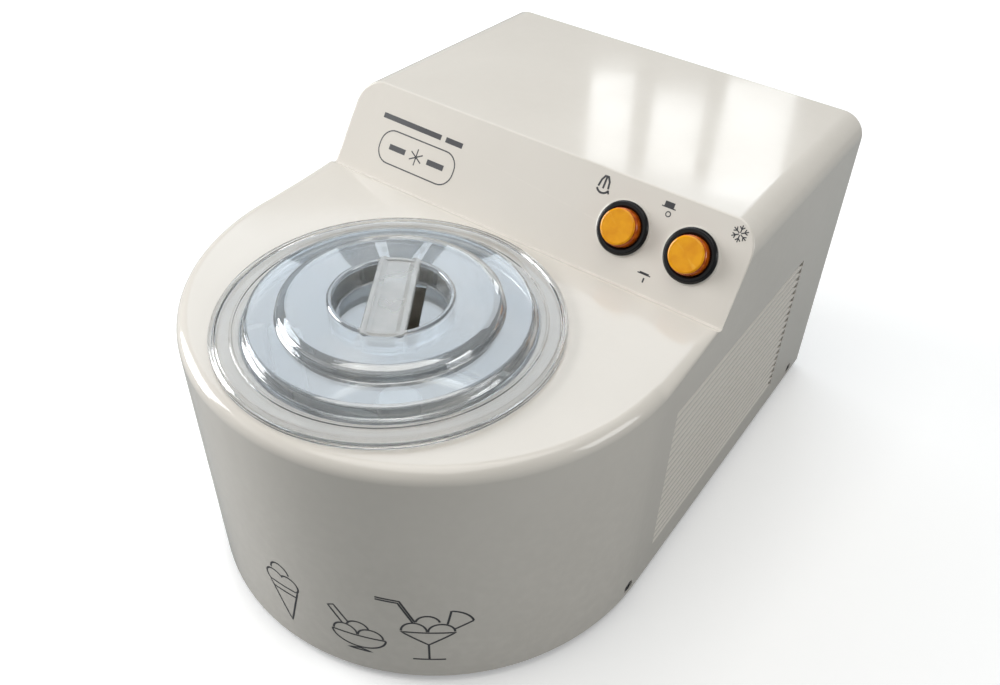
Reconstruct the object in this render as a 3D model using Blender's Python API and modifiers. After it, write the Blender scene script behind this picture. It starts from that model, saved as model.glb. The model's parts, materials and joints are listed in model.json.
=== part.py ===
"""Ice cream maker with its own compressor, built as separate pieces.

World frame: +Z up, the round front faces -Y, the origin is on the table under the middle of the machine.
All lengths are in metres.
"""
import math
from math import cos, pi, radians, sin, sqrt, tan

import bmesh
import bpy
from mathutils import Matrix, Quaternion, Vector

MM = 0.001

# ---------------------------------------------------------------- driving dimensions
# Overall housing
BODY_WIDTH = 270 * MM
BODY_DEPTH = 380 * MM
SHELL_HEIGHT = 199 * MM          # from the shell's lower edge to its top
DECK_HEIGHT = 154 * MM           # from the shell's lower edge to the deck
FOOT_LIFT = 6 * MM               # table to the shell's lower edge
WALL = 3 * MM
ARC_STEPS = 32                   # sides of the round front
DECK_EDGE_RADIUS = 7 * MM
TOP_EDGE_RADIUS = 15 * MM
PANEL_LEAN = radians(33.8)       # the control panel leans back from upright
GROOVE_DEPTH = 1.5 * MM          # valley across the deck at the panel's foot
GROOVE_FLAT = 1.5 * MM
GROOVE_SLOPE = 3 * MM

# Clearances
GAP = 0.3 * MM                   # between pieces that touch or are fixed together
RUN_GAP = 0.1 * MM               # radial gap of a running shaft
SLIDE_GAP = 0.25 * MM            # radial gap of a sliding button

# Bowl
BOWL_RADIUS = 72 * MM
BOWL_DEPTH = 96 * MM
BOWL_WALL = 1 * MM
BOWL_RIM = 7 * MM
BOWL_CORNER = 10 * MM
BOWL_STEPS = 36                  # sides of the bowl, of the deck hole and of the lid
SEAL_THICKNESS = 1.8 * MM
SLEEVE_RADIUS = 8 * MM           # tube in the middle of the bowl, around the shaft
SLEEVE_HEIGHT = 34 * MM

# Lid
LID_OVERLAP = 14.5 * MM          # flange beyond the deck's hole
LID_FRONT_MARGIN = 6.5 * MM      # flange to the front of the housing
LID_PANEL_MARGIN = 10.5 * MM     # flange to the foot of the panel
LID_WALL = 2.4 * MM
FLANGE_HEIGHT = 3 * MM
LOWER_TIER_HEIGHT = 9 * MM
UPPER_TIER_HEIGHT = 15.5 * MM
TIER_STEP = 16 * MM              # lower tier's tread
WELL_RADIUS = 28.5 * MM
WELL_FLOOR = 4 * MM              # well's floor above the deck
SKIRT_DEPTH = 1.8 * MM           # locating skirt below the deck's face
HANDLE_WIDTH = 21 * MM
HANDLE_DEPTH = 6.5 * MM
HANDLE_RISE = 1 * MM             # handle above the top tier
HANDLE_TURN = radians(33.4)
SLOT_WIDTH = 28 * MM
SLOT_LENGTH = 50 * MM

# Cold parts round the bowl
COIL_TUBE = 3.5 * MM
COIL_PITCH = 18 * MM
COIL_TURNS = 3.5
COIL_STEPS = 16                  # points round one turn
COIL_LEAD = 60 * MM
JACKET_WALL = 6.7 * MM
JACKET_FLOOR = 7.8 * MM
JACKET_STEPS = 32

# Paddle and shaft
SHAFT_RADIUS = 5 * MM
PADDLE_CLEARANCE = 2 * MM
PADDLE_HEIGHT = 76 * MM
PADDLE_THICKNESS = 4 * MM
PADDLE_ARM = 16 * MM
PADDLE_TURN = radians(20)
HUB_WALL = 3.4 * MM
BUSH_WALL = 3 * MM

# Gears
OUTPUT_TEETH = 48
IDLER_TEETH = 38
SMALL_TEETH = 16
PRESSURE_ANGLE = radians(20)
GEAR_WIDTH = 7 * MM
GEAR_SPACE = 2 * MM
BACKLASH = 0.3 * MM
TRAY_FLOOR = 3 * MM
TRAY_WALL = 3 * MM
IDLER_PIN_RADIUS = 3 * MM

# Drive motor
MOTOR_RADIUS = 28 * MM
MOTOR_HEIGHT = 62 * MM
MOTOR_CAN = 10 * MM
MOTOR_SHAFT_RADIUS = 3 * MM

# Compressor
COMPRESSOR_RADIUS = 50 * MM
COMPRESSOR_HEIGHT = 110 * MM
COMPRESSOR_SIDE_GAP = 20 * MM
COMPRESSOR_REAR_GAP = 19 * MM
MOUNT_HEIGHT = 8 * MM

# Condenser and fan
CONDENSER_SIZE = (24 * MM, 120 * MM, 110 * MM)
CONDENSER_REAR_GAP = 27 * MM
CONDENSER_SIDE_GAP = 4 * MM
FIN_COUNT = 12
FAN_RADIUS = 46 * MM
FAN_BLADES = 5
FAN_WIDTH = 9 * MM
FAN_MOTOR_RADIUS = 20 * MM
FAN_MOTOR_LENGTH = 34 * MM
PIPE_RADIUS = 3 * MM
CAPILLARY_RADIUS = 1.5 * MM

# Switches on the panel
SWITCH_SPACING = 41 * MM
SWITCH_SIDE_MARGIN = 30.5 * MM   # right-hand switch to the housing's side
SWITCH_RISE = 27 * MM            # up the panel from its foot
BEZEL_RADIUS = 15 * MM
BEZEL_HEIGHT = 2.2 * MM
BARREL_RADIUS = 13.2 * MM
SWITCH_BLOCK = 26 * MM
SWITCH_DEPTH = 30 * MM
BUTTON_RADIUS = 11.8 * MM        # of the part that slides in the switch
BUTTON_TAPER = 2 * MM            # the pressed face is smaller by this
BUTTON_RISE = 6 * MM             # above the bezel
BUTTON_TRAVEL = 4 * MM
BUTTON_SKIRT = 6 * MM
NUT_RADIUS = 17 * MM
NUT_HEIGHT = 4 * MM

# Louvres, screws, feet and inlet
LOUVRE_COUNT = 19
LOUVRE_PITCH = 5.6 * MM
LOUVRE_START = 19.5 * MM           # lowest louvre above the shell's lower edge
LOUVRE_REAR_GAP = 61 * MM        # rear end of the louvres to the back of the housing
LOUVRE_MOUTH = (8 * MM, 2.6 * MM)
SCREW_HEAD_RADIUS = 3.3 * MM
SCREW_SHANK_RADIUS = 1.4 * MM
SCREW_LENGTH = 12 * MM
SCREW_RISE = 6 * MM
SCREW_AHEAD = 7.5 * MM           # front screws ahead of where the side starts to curve
SCREW_REAR = 23 * MM             # rear screws from the back of the housing
PLATE_THICKNESS = 2 * MM
PLATE_RECESS = 1.3 * MM
LUG_WIDTH = 12 * MM
LUG_HEIGHT = 10 * MM
FOOT_RADIUS = 9 * MM
FOOT_INSET = 26 * MM
INLET_FLANGE = (50 * MM, 28 * MM, 1.5 * MM)
INLET_BODY = (32 * MM, 24 * MM, 24 * MM)
INLET_MOUTH = (24 * MM, 16 * MM, 18 * MM)
INLET_PLACE = (60 * MM, 39 * MM)
PIN_SIZE = (2 * MM, 12 * MM, 4 * MM)
PIN_SPACING = 7 * MM

# ---------------------------------------------------------------- derived places
HALF_WIDTH = BODY_WIDTH / 2
FRONT_Y = -BODY_DEPTH / 2
REAR_Y = BODY_DEPTH / 2
ARC_Y = FRONT_Y + HALF_WIDTH
SHELL_Z = FOOT_LIFT
DECK_Z = SHELL_Z + DECK_HEIGHT
TOP_Z = SHELL_Z + SHELL_HEIGHT
HOLE_RADIUS = BOWL_RADIUS + BOWL_WALL
LID_RADIUS = HOLE_RADIUS + LID_OVERLAP
BOWL_Y = FRONT_Y + LID_FRONT_MARGIN + LID_RADIUS
PANEL_Y = BOWL_Y + LID_RADIUS + LID_PANEL_MARGIN

RIM_TOP = DECK_Z - WALL - SEAL_THICKNESS - 2 * GAP
BOWL_FLOOR = RIM_TOP - BOWL_DEPTH
JACKET_TOP = RIM_TOP - BOWL_WALL - GAP
COIL_RADIUS = (HOLE_RADIUS + COIL_TUBE + 2 * GAP) / cos(pi / COIL_STEPS)
JACKET_INNER = (COIL_RADIUS + COIL_TUBE + 2 * GAP) / cos(pi / JACKET_STEPS)
JACKET_OUTER = JACKET_INNER + JACKET_WALL

PLATE_Z = SHELL_Z + PLATE_RECESS
FLOOR_Z = PLATE_Z + PLATE_THICKNESS + GAP
GEAR_A = FLOOR_Z + TRAY_FLOOR + 1 * MM
GEAR_B = GEAR_A + GEAR_WIDTH + GEAR_SPACE
COVER_Z = GEAR_B + GEAR_WIDTH + 1.7 * MM
COVER_TOP = COVER_Z + TRAY_WALL
BOSS_TOP = COVER_TOP + 10 * MM
MOTOR_REACH = JACKET_OUTER + 2 * MM + MOTOR_RADIUS
MODULE = 2 * MOTOR_REACH / (OUTPUT_TEETH + IDLER_TEETH + 2 * SMALL_TEETH)
IDLER_Y = BOWL_Y + MODULE * (OUTPUT_TEETH + SMALL_TEETH) / 2
MOTOR_Y = BOWL_Y + MOTOR_REACH
SHAFT_TOP = BOWL_FLOOR + SLEEVE_HEIGHT + 8 * MM
COMPRESSOR_X = -(HALF_WIDTH - WALL - COMPRESSOR_SIDE_GAP - COMPRESSOR_RADIUS)
COMPRESSOR_Y = REAR_Y - WALL - COMPRESSOR_REAR_GAP - COMPRESSOR_RADIUS
CONDENSER_X = HALF_WIDTH - WALL - CONDENSER_SIDE_GAP - CONDENSER_SIZE[0]
CONDENSER_Y = REAR_Y - WALL - CONDENSER_REAR_GAP - CONDENSER_SIZE[1]
CONDENSER_Z = FLOOR_Z + 2 * MM
FAN_Y = CONDENSER_Y + CONDENSER_SIZE[1] / 2
FAN_Z = CONDENSER_Z + CONDENSER_SIZE[2] / 2
SHROUD_X = CONDENSER_X - 4.5 * MM
FAN_X = SHROUD_X - 2 * MM - FAN_WIDTH
SWITCH_X = (HALF_WIDTH - SWITCH_SIDE_MARGIN - SWITCH_SPACING, HALF_WIDTH - SWITCH_SIDE_MARGIN)
SCREW_Z = SHELL_Z + SCREW_RISE
SCREW_YS = {"front": ARC_Y - SCREW_AHEAD, "rear": REAR_Y - SCREW_REAR}
LOUVRE_REAR = REAR_Y - LOUVRE_REAR_GAP
SIDES = {"left": -1, "right": 1}

OBJECT_NAME = "ice_cream_maker"


# ---------------------------------------------------------------- scene and materials
def clear_scene():
    for thing in list(bpy.data.objects):
        bpy.data.objects.remove(thing, do_unlink=True)


def new_collection(name):
    made = bpy.data.collections.new(name)
    bpy.context.scene.collection.children.link(made)
    return made


clear_scene()
PARTS = new_collection(OBJECT_NAME)
CUTTERS = new_collection("cutters")


def make_material(name, colour, roughness, metallic=0.0, alpha=1.0):
    made = bpy.data.materials.new(name)
    made.use_nodes = True
    shader = made.node_tree.nodes["Principled BSDF"]
    shader.inputs["Base Color"].default_value = (*colour, 1.0)
    shader.inputs["Roughness"].default_value = roughness
    shader.inputs["Metallic"].default_value = metallic
    shader.inputs["Alpha"].default_value = alpha
    return made


MATERIALS = {
    "white_housing": make_material("white_housing", (0.82, 0.80, 0.76), 0.2),
    "clear_lid": make_material("clear_lid", (0.9, 0.93, 0.95), 0.05, alpha=0.35),
    "polished_steel": make_material("polished_steel", (0.75, 0.76, 0.78), 0.08, 1.0),
    "sheet_steel": make_material("sheet_steel", (0.55, 0.56, 0.57), 0.4, 1.0),
    "shaft_steel": make_material("shaft_steel", (0.6, 0.6, 0.62), 0.25, 1.0),
    "bronze": make_material("bronze", (0.55, 0.38, 0.2), 0.35, 1.0),
    "copper": make_material("copper", (0.72, 0.36, 0.22), 0.3, 1.0),
    "foam": make_material("foam", (0.78, 0.72, 0.52), 0.9),
    "white_nylon": make_material("white_nylon", (0.85, 0.85, 0.82), 0.45),
    "black_plastic": make_material("black_plastic", (0.02, 0.02, 0.022), 0.3),
    "grey_plastic": make_material("grey_plastic", (0.25, 0.26, 0.27), 0.5),
    "black_rubber": make_material("black_rubber", (0.025, 0.025, 0.025), 0.8),
    "black_enamel": make_material("black_enamel", (0.03, 0.03, 0.035), 0.35),
    "amber_plastic": make_material("amber_plastic", (0.9, 0.42, 0.02), 0.15),
    "aluminium": make_material("aluminium", (0.7, 0.71, 0.72), 0.35, 1.0),
}


# ---------------------------------------------------------------- modelling helpers
def place(thing, parent=None, location=(0, 0, 0), collection=None):
    (collection or CUTTERS).objects.link(thing)
    thing.parent = parent
    thing.location = location
    if collection is not PARTS:
        thing.hide_render = True
        thing.display_type = "WIRE"
    return thing


def finish(thing, material, sharp=radians(35)):
    """Moves a made object into the parts collection with its own material."""
    CUTTERS.objects.unlink(thing)
    PARTS.objects.link(thing)
    thing.hide_render = False
    thing.display_type = "TEXTURED"
    thing.data.materials.clear()
    thing.data.materials.append(MATERIALS[material])
    thing.data.shade_smooth()
    thing.data.set_sharp_from_angle(angle=sharp)
    return thing


def anchor(name, location, rotation=(0, 0, 0)):
    """An empty on an axis or a seat, to which pieces are parented."""
    made = bpy.data.objects.new(name, None)
    PARTS.objects.link(made)
    made.location = location
    made.rotation_euler = rotation
    return made


def from_bmesh(name, bm, parent=None, location=(0, 0, 0)):
    mesh = bpy.data.meshes.new(name)
    bm.to_mesh(mesh)
    bm.free()
    return place(bpy.data.objects.new(name, mesh), parent, location)


def evaluated_mesh(thing):
    bpy.context.view_layer.update()
    graph = bpy.context.evaluated_depsgraph_get()
    return bpy.data.meshes.new_from_object(thing.evaluated_get(graph))


def apply_modifiers(thing):
    made = evaluated_mesh(thing)
    thing.modifiers.clear()
    thing.data = made
    return thing


def curve_to_mesh(thing):
    """Replaces a curve object by its closed mesh, in the same place."""
    mesh = evaluated_mesh(thing)
    bm = bmesh.new()
    bm.from_mesh(mesh)
    bmesh.ops.remove_doubles(bm, verts=bm.verts, dist=1e-6)
    bm.to_mesh(mesh)
    bm.free()
    name = thing.name
    parent = thing.parent
    location = thing.location.copy()
    bpy.data.objects.remove(thing, do_unlink=True)
    return place(bpy.data.objects.new(name, mesh), parent, location)


def box(name, low, high, parent=None):
    bm = bmesh.new()
    bmesh.ops.create_cube(bm, size=1.0)
    low = Vector(low)
    size = Vector(high) - low
    bmesh.ops.scale(bm, vec=size, verts=bm.verts)
    bmesh.ops.translate(bm, vec=low + size / 2, verts=bm.verts)
    return from_bmesh(name, bm, parent)


def boxes(name, corner_pairs, parent=None):
    """Several separate boxes in one cutter."""
    bm = bmesh.new()
    for low, high in corner_pairs:
        made = bmesh.ops.create_cube(bm, size=1.0)["verts"]
        size = Vector(high) - Vector(low)
        bmesh.ops.scale(bm, vec=size, verts=made)
        bmesh.ops.translate(bm, vec=Vector(low) + size / 2, verts=made)
    return from_bmesh(name, bm, parent)


def rod(name, radius, start, end, segments=24, end_radius=None, parent=None):
    """A round bar or cone from start to end."""
    start = Vector(start)
    along = Vector(end) - start
    turn = Vector((0, 0, 1)).rotation_difference(along).to_matrix().to_4x4()
    bm = bmesh.new()
    tip = radius if end_radius is None else end_radius
    bmesh.ops.create_cone(bm, cap_ends=True, segments=segments, radius1=radius, radius2=tip,
                          depth=along.length,
                          matrix=Matrix.Translation(start + along / 2) @ turn)
    return from_bmesh(name, bm, parent)


def turned(name, profile, steps=32, closed=True, parent=None, location=(0, 0, 0)):
    """A profile of (radius, height) points turned about Z, running down its outer side."""
    bm = bmesh.new()
    points = [bm.verts.new((radius, 0, height)) for radius, height in profile]
    for first, second in zip(points, points[1:]):
        bm.edges.new((first, second))
    if closed:
        bm.edges.new((points[-1], points[0]))
    made = from_bmesh(name, bm, parent, location)
    screw = made.modifiers.new("turn", "SCREW")
    screw.steps = steps
    screw.render_steps = steps
    screw.use_merge_vertices = True
    screw.merge_threshold = 0.00001
    return apply_modifiers(made)


def outline_plate(name, outlines, low_z, high_z, parent=None, location=(0, 0, 0)):
    """A flat plate between two heights from closed outlines, the inner ones being its holes."""
    flat = bpy.data.curves.new(name, "CURVE")
    flat.dimensions = "2D"
    flat.fill_mode = "BOTH"
    flat.extrude = (high_z - low_z) / 2
    for outline in outlines:
        spline = flat.splines.new("POLY")
        spline.points.add(len(outline) - 1)
        spline.use_cyclic_u = True
        for point, (x, y) in zip(spline.points, outline):
            point.co = (x, y, 0, 1)
    x0, y0, z0 = location
    made = place(bpy.data.objects.new(name, flat), parent, (x0, y0, z0 + (low_z + high_z) / 2))
    return curve_to_mesh(made)


def circle(radius, segments=24, centre=(0, 0)):
    turns = [2 * pi * i / segments for i in range(segments)]
    return [(centre[0] + radius * cos(a), centre[1] + radius * sin(a)) for a in turns]


def rounded_rectangle(low, high, radius, segments=3):
    (x0, y0), (x1, y1) = low, high
    corners = [(x1, y1, 0), (x0, y1, 90), (x0, y0, 180), (x1, y0, 270)]
    points = []
    for x, y, start in corners:
        cx = x - math.copysign(radius, x - (x0 + x1) / 2)
        cy = y - math.copysign(radius, y - (y0 + y1) / 2)
        for i in range(segments + 1):
            a = radians(start + 90 * i / segments)
            points.append((cx + radius * cos(a), cy + radius * sin(a)))
    return points


def combine(target, tool, operation="DIFFERENCE"):
    step = target.modifiers.new(tool.name, "BOOLEAN")
    step.operation = operation
    step.solver = "EXACT"
    step.object = tool
    return target


def cut(target, *tools):
    for tool in tools:
        combine(target, tool)
    return target


def join(target, *tools):
    for tool in tools:
        combine(target, tool, "UNION")
    return target


def smooth_bends(points, radius, steps=4):
    """A pipe's route with each corner turned into an arc of the given radius."""
    points = [Vector(p) for p in points]
    route = [points[0]]
    for before, corner, after in zip(points, points[1:], points[2:]):
        back = (before - corner).normalized()
        ahead = (after - corner).normalized()
        half = back.angle(ahead) / 2
        room = min((before - corner).length, (after - corner).length) / 2
        reach = min(radius / tan(half), room)
        middle = corner + (back + ahead).normalized() * (reach / cos(half))
        spoke = corner + back * reach - middle
        turn = Quaternion(spoke.cross(corner + ahead * reach - middle), (pi - 2 * half) / steps)
        for _ in range(steps + 1):
            route.append(middle + spoke)
            spoke = turn @ spoke
    route.append(points[-1])
    return route


def pipe(name, points, radius, material, parent=None):
    """A round tube along a route of straight runs, bent points or turns."""
    curve = bpy.data.curves.new(name, "CURVE")
    curve.dimensions = "3D"
    curve.bevel_depth = radius
    curve.bevel_resolution = 2
    curve.use_fill_caps = True
    spline = curve.splines.new("POLY")
    spline.points.add(len(points) - 1)
    for point, place_at in zip(spline.points, points):
        point.co = (*place_at, 1)
    made = place(bpy.data.objects.new(name, curve), parent)
    return finish(curve_to_mesh(made), material)


# ---------------------------------------------------------------- housing
def panel_y(height, inset=0.0):
    """Where the panel's face, or a wall's inside behind it, stands at a height."""
    return PANEL_Y + (height - DECK_Z) * tan(PANEL_LEAN) + inset / cos(PANEL_LEAN)


def housing_outline(inset):
    """The D of the housing seen from above, with its side and rear walls moved in."""
    radius = HALF_WIDTH - inset
    turns = [pi + pi * i / ARC_STEPS for i in range(ARC_STEPS + 1)]
    arc = [(radius * cos(a), ARC_Y + radius * sin(a)) for a in turns]
    return arc + [(radius, REAR_Y - inset), (-radius, REAR_Y - inset)]


def side_reach(y, inset=0.0):
    """Half the housing's width at a place along it, with its wall moved in."""
    radius = HALF_WIDTH - inset
    return sqrt(radius ** 2 - min(y - ARC_Y, 0) ** 2)


def screw_seat(y):
    """Height, from the middle plane, of the face that a side screw's head sits on."""
    return side_reach(y) - WALL + MM


def round_edges(thing, chosen, radius, segments):
    """Rounds the edges that chosen(edge) picks."""
    bm = bmesh.new()
    bm.from_mesh(thing.data)
    bmesh.ops.dissolve_limit(bm, angle_limit=radians(0.5), verts=bm.verts, edges=bm.edges)
    picked = [edge for edge in bm.edges if len(edge.link_faces) == 2 and chosen(edge)]
    bmesh.ops.bevel(bm, geom=picked, offset=radius, offset_type="OFFSET", segments=segments,
                    profile=0.5, affect="EDGES")
    bm.to_mesh(thing.data)
    bm.free()


def is_level_edge(edge, height):
    """An edge at a height, between a level face and an upright one."""
    level = all(abs(vert.co.z - height) < 1e-5 for vert in edge.verts)
    return level and any(abs(face.normal.z) < 0.01 for face in edge.link_faces)


def is_side_edge(edge):
    return any(abs(face.normal.x) > 0.99 for face in edge.link_faces)


def housing_form(name, inset, low_z):
    """The housing's outside, or with an inset the hollow inside its walls."""
    deck = DECK_Z - inset
    top = TOP_Z - inset
    form = outline_plate(name, [housing_outline(inset)], low_z, top)
    groove_z = deck - GROOVE_DEPTH
    foot_y = panel_y(groove_z, inset)
    above = TOP_Z + 10 * MM
    ahead = FRONT_Y - 10 * MM
    side_view = [(ahead, deck), (foot_y - GROOVE_FLAT - GROOVE_SLOPE, deck),
                 (foot_y - GROOVE_FLAT, groove_z), (foot_y, groove_z),
                 (panel_y(above, inset), above), (ahead, above)]
    away = outline_plate(name + "_deck_space", [side_view], -BODY_WIDTH, BODY_WIDTH)
    away.rotation_euler = (pi / 2, 0, pi / 2)
    apply_modifiers(cut(form, away))
    form.location.z = 0
    form.data.transform(Matrix.Translation((0, 0, (low_z + top) / 2)))
    deck_radius = max(DECK_EDGE_RADIUS - inset, MM)
    top_radius = max(TOP_EDGE_RADIUS - inset, MM)
    round_edges(form, lambda edge: is_level_edge(edge, deck), deck_radius, 3)
    round_edges(form, lambda edge: is_level_edge(edge, top) and is_side_edge(edge), top_radius, 4)
    return form


def panel_point(x, rise, out=0.0):
    """A point on the panel, a distance up it from its foot and out along its normal."""
    y = PANEL_Y + rise * sin(PANEL_LEAN) - out * cos(PANEL_LEAN)
    return Vector((x, y, DECK_Z + rise * cos(PANEL_LEAN) + out * sin(PANEL_LEAN)))


def make_housing():
    shell = housing_form("body_shell", 0.0, SHELL_Z)
    hollow = housing_form("shell_hollow", WALL, SHELL_Z - 10 * MM)
    deck_hole = rod("deck_hole", HOLE_RADIUS, (0, BOWL_Y, DECK_Z - 20 * MM),
                    (0, BOWL_Y, DECK_Z + 20 * MM), BOWL_STEPS)
    barrel = BARREL_RADIUS + GAP
    switch_holes = [rod("switch_hole", barrel, panel_point(x, SWITCH_RISE, -20 * MM),
                        panel_point(x, SWITCH_RISE, 20 * MM), 24) for x in SWITCH_X]
    mouth_length, mouth_height = LOUVRE_MOUTH
    mouths = []
    screw_holes = []
    for side in SIDES.values():
        near, far = sorted((side * (HALF_WIDTH - 10 * MM), side * (HALF_WIDTH + 10 * MM)))
        for i in range(LOUVRE_COUNT):
            z = SHELL_Z + LOUVRE_START + i * LOUVRE_PITCH
            mouths.append(((near, LOUVRE_REAR - mouth_length, z), (far, LOUVRE_REAR, z + mouth_height)))
        for y in SCREW_YS.values():
            face = side * side_reach(y)
            seat = side * screw_seat(y)
            inside = face - side * 6 * MM
            screw_holes.append(rod("screw_seat", SCREW_HEAD_RADIUS + 2 * GAP, (seat, y, SCREW_Z),
                                   (face + side * MM, y, SCREW_Z), 12))
            screw_holes.append(rod("screw_hole", SCREW_SHANK_RADIUS + GAP, (inside, y, SCREW_Z),
                                   (face, y, SCREW_Z), 8))
    inlet_x, inlet_z = INLET_PLACE
    flange_w, flange_h, flange_t = INLET_FLANGE
    body_w, body_h, _ = INLET_BODY
    inlet_spaces = []
    for width, height, depth in ((flange_w, flange_h, flange_t + GAP), (body_w, body_h, 10 * MM)):
        reach_x = width / 2 + GAP
        reach_z = height / 2 + GAP
        inlet_spaces.append(box("inlet_space", (inlet_x - reach_x, REAR_Y - depth, inlet_z - reach_z),
                                (inlet_x + reach_x, REAR_Y + 5 * MM, inlet_z + reach_z)))
    cut(shell, hollow, deck_hole, *switch_holes, boxes("louvre_mouths", mouths))
    cut(shell, *screw_holes, *inlet_spaces)
    finish(apply_modifiers(shell), "white_housing")


def make_base():
    """Steel floor with an upturned lug for each side screw."""
    inset = WALL + GAP
    plate = outline_plate("base_plate", [housing_outline(inset)], PLATE_Z, PLATE_Z + PLATE_THICKNESS)
    lugs = []
    holes = []
    for side in SIDES.values():
        for y in SCREW_YS.values():
            outer = side_reach(y - LUG_WIDTH / 2, inset) - GAP
            near, far = sorted((side * outer, side * (outer - PLATE_THICKNESS)))
            lugs.append(box("lug", (near, y - LUG_WIDTH / 2, PLATE_Z + PLATE_THICKNESS / 2),
                            (far, y + LUG_WIDTH / 2, PLATE_Z + PLATE_THICKNESS + LUG_HEIGHT)))
            holes.append(rod("lug_hole", SCREW_SHANK_RADIUS + GAP, (near - MM, y, SCREW_Z),
                             (far + MM, y, SCREW_Z), 8))
    cut(join(plate, *lugs), *holes)
    finish(apply_modifiers(plate), "sheet_steel")
    for end, y in {"front": ARC_Y - HALF_WIDTH * 0.5, "rear": REAR_Y - FOOT_INSET}.items():
        for name, side in SIDES.items():
            reach = sqrt(HALF_WIDTH ** 2 - (HALF_WIDTH * 0.5) ** 2) if end == "front" else HALF_WIDTH
            x = side * (reach - FOOT_INSET)
            profile = [(0, PLATE_Z - GAP), (FOOT_RADIUS, PLATE_Z - GAP), (FOOT_RADIUS, 2 * MM),
                       (FOOT_RADIUS - MM, 0), (0, 0)]
            foot = turned("foot_%s_%s" % (end, name), profile, 16, closed=False, location=(x, y, 0))
            finish(foot, "black_rubber")
    for end, y in SCREW_YS.items():
        for name, side in SIDES.items():
            make_side_screw("side_screw_%s_%s" % (end, name), side, y)


def make_side_screw(name, side, y):
    """A cross-head screw, its head sunk in the shell's side and its shank through the lug."""
    seat = screw_seat(y) + GAP
    head_top = side_reach(y) - GAP
    tip = seat - SCREW_LENGTH
    head = SCREW_HEAD_RADIUS
    shank = SCREW_SHANK_RADIUS
    profile = [(0, head_top), (head - 0.5 * MM, head_top), (head, head_top - 0.5 * MM), (head, seat),
               (shank, seat), (shank, tip + MM), (0, tip)]
    screw = turned(name, profile, 12, closed=False)
    arm = SCREW_HEAD_RADIUS * 0.6
    slit = 0.4 * MM
    across = box("drive_across", (-arm, -slit, head_top - 0.8 * MM), (arm, slit, head_top + MM))
    along = box("drive_along", (-slit, -arm, head_top - 0.8 * MM), (slit, arm, head_top + MM))
    apply_modifiers(cut(screw, across, along))
    screw.data.transform(Matrix.Rotation(side * pi / 2, 4, "Y"))
    screw.location = (0, y, SCREW_Z)
    finish(screw, "black_enamel")


# ---------------------------------------------------------------- lid, bowl and cold parts
def lid_profile():
    """Half section of the lid, from the well out over both tiers to the flange, and back underneath."""
    lower_r = BOWL_RADIUS - 1.5 * MM
    upper_r = lower_r - TIER_STEP
    well = WELL_RADIUS
    wall = LID_WALL
    low = DECK_Z + GAP
    flange = DECK_Z + FLANGE_HEIGHT
    lower = DECK_Z + LOWER_TIER_HEIGHT
    upper = DECK_Z + UPPER_TIER_HEIGHT
    floor = DECK_Z + WELL_FLOOR
    skirt = DECK_Z - SKIRT_DEPTH
    outer_side = [(0, floor), (well, floor), (well, upper), (upper_r - 3 * MM, upper), (upper_r, lower),
                  (lower_r, lower), (lower_r + MM, flange), (LID_RADIUS - MM, flange),
                  (LID_RADIUS, flange - MM), (LID_RADIUS, low), (lower_r + MM, low), (lower_r + MM, skirt)]
    underside = [(lower_r - MM, skirt), (lower_r - MM, lower - wall), (upper_r - wall, lower - wall),
                 (upper_r - 3 * MM - wall, upper - wall), (well + wall, upper - wall),
                 (well + wall, floor - wall), (0, floor - wall)]
    return outer_side + underside


def make_lid(bowl_axis):
    lid = turned("lid", lid_profile(), BOWL_STEPS, closed=False, parent=bowl_axis)
    half_slot = (SLOT_WIDTH / 2, SLOT_LENGTH / 2)
    slot_plan = rounded_rectangle((-half_slot[0], -half_slot[1]), half_slot, 2 * MM, 2)
    slot = outline_plate("handle_slot", [slot_plan], DECK_Z - 10 * MM, DECK_Z + WELL_FLOOR + 2 * MM,
                         bowl_axis)
    slot.rotation_euler.z = HANDLE_TURN
    finish(apply_modifiers(cut(lid, slot)), "clear_lid")


def make_lid_handle(bowl_axis):
    """Bar across the lid's well, its ends following the well's round wall."""
    top = DECK_Z + UPPER_TIER_HEIGHT + HANDLE_RISE
    low = top - HANDLE_DEPTH
    reach = WELL_RADIUS * cos(pi / BOWL_STEPS) - GAP
    handle = box("lid_handle", (-HANDLE_WIDTH / 2, -WELL_RADIUS, low), (HANDLE_WIDTH / 2, WELL_RADIUS, top),
                 bowl_axis)
    ends = rod("handle_ends", reach, (0, 0, low - MM), (0, 0, top + MM), BOWL_STEPS, parent=bowl_axis)
    apply_modifiers(combine(handle, ends, "INTERSECT"))
    handle.rotation_euler.z = HANDLE_TURN
    finish(handle, "clear_lid")


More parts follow.
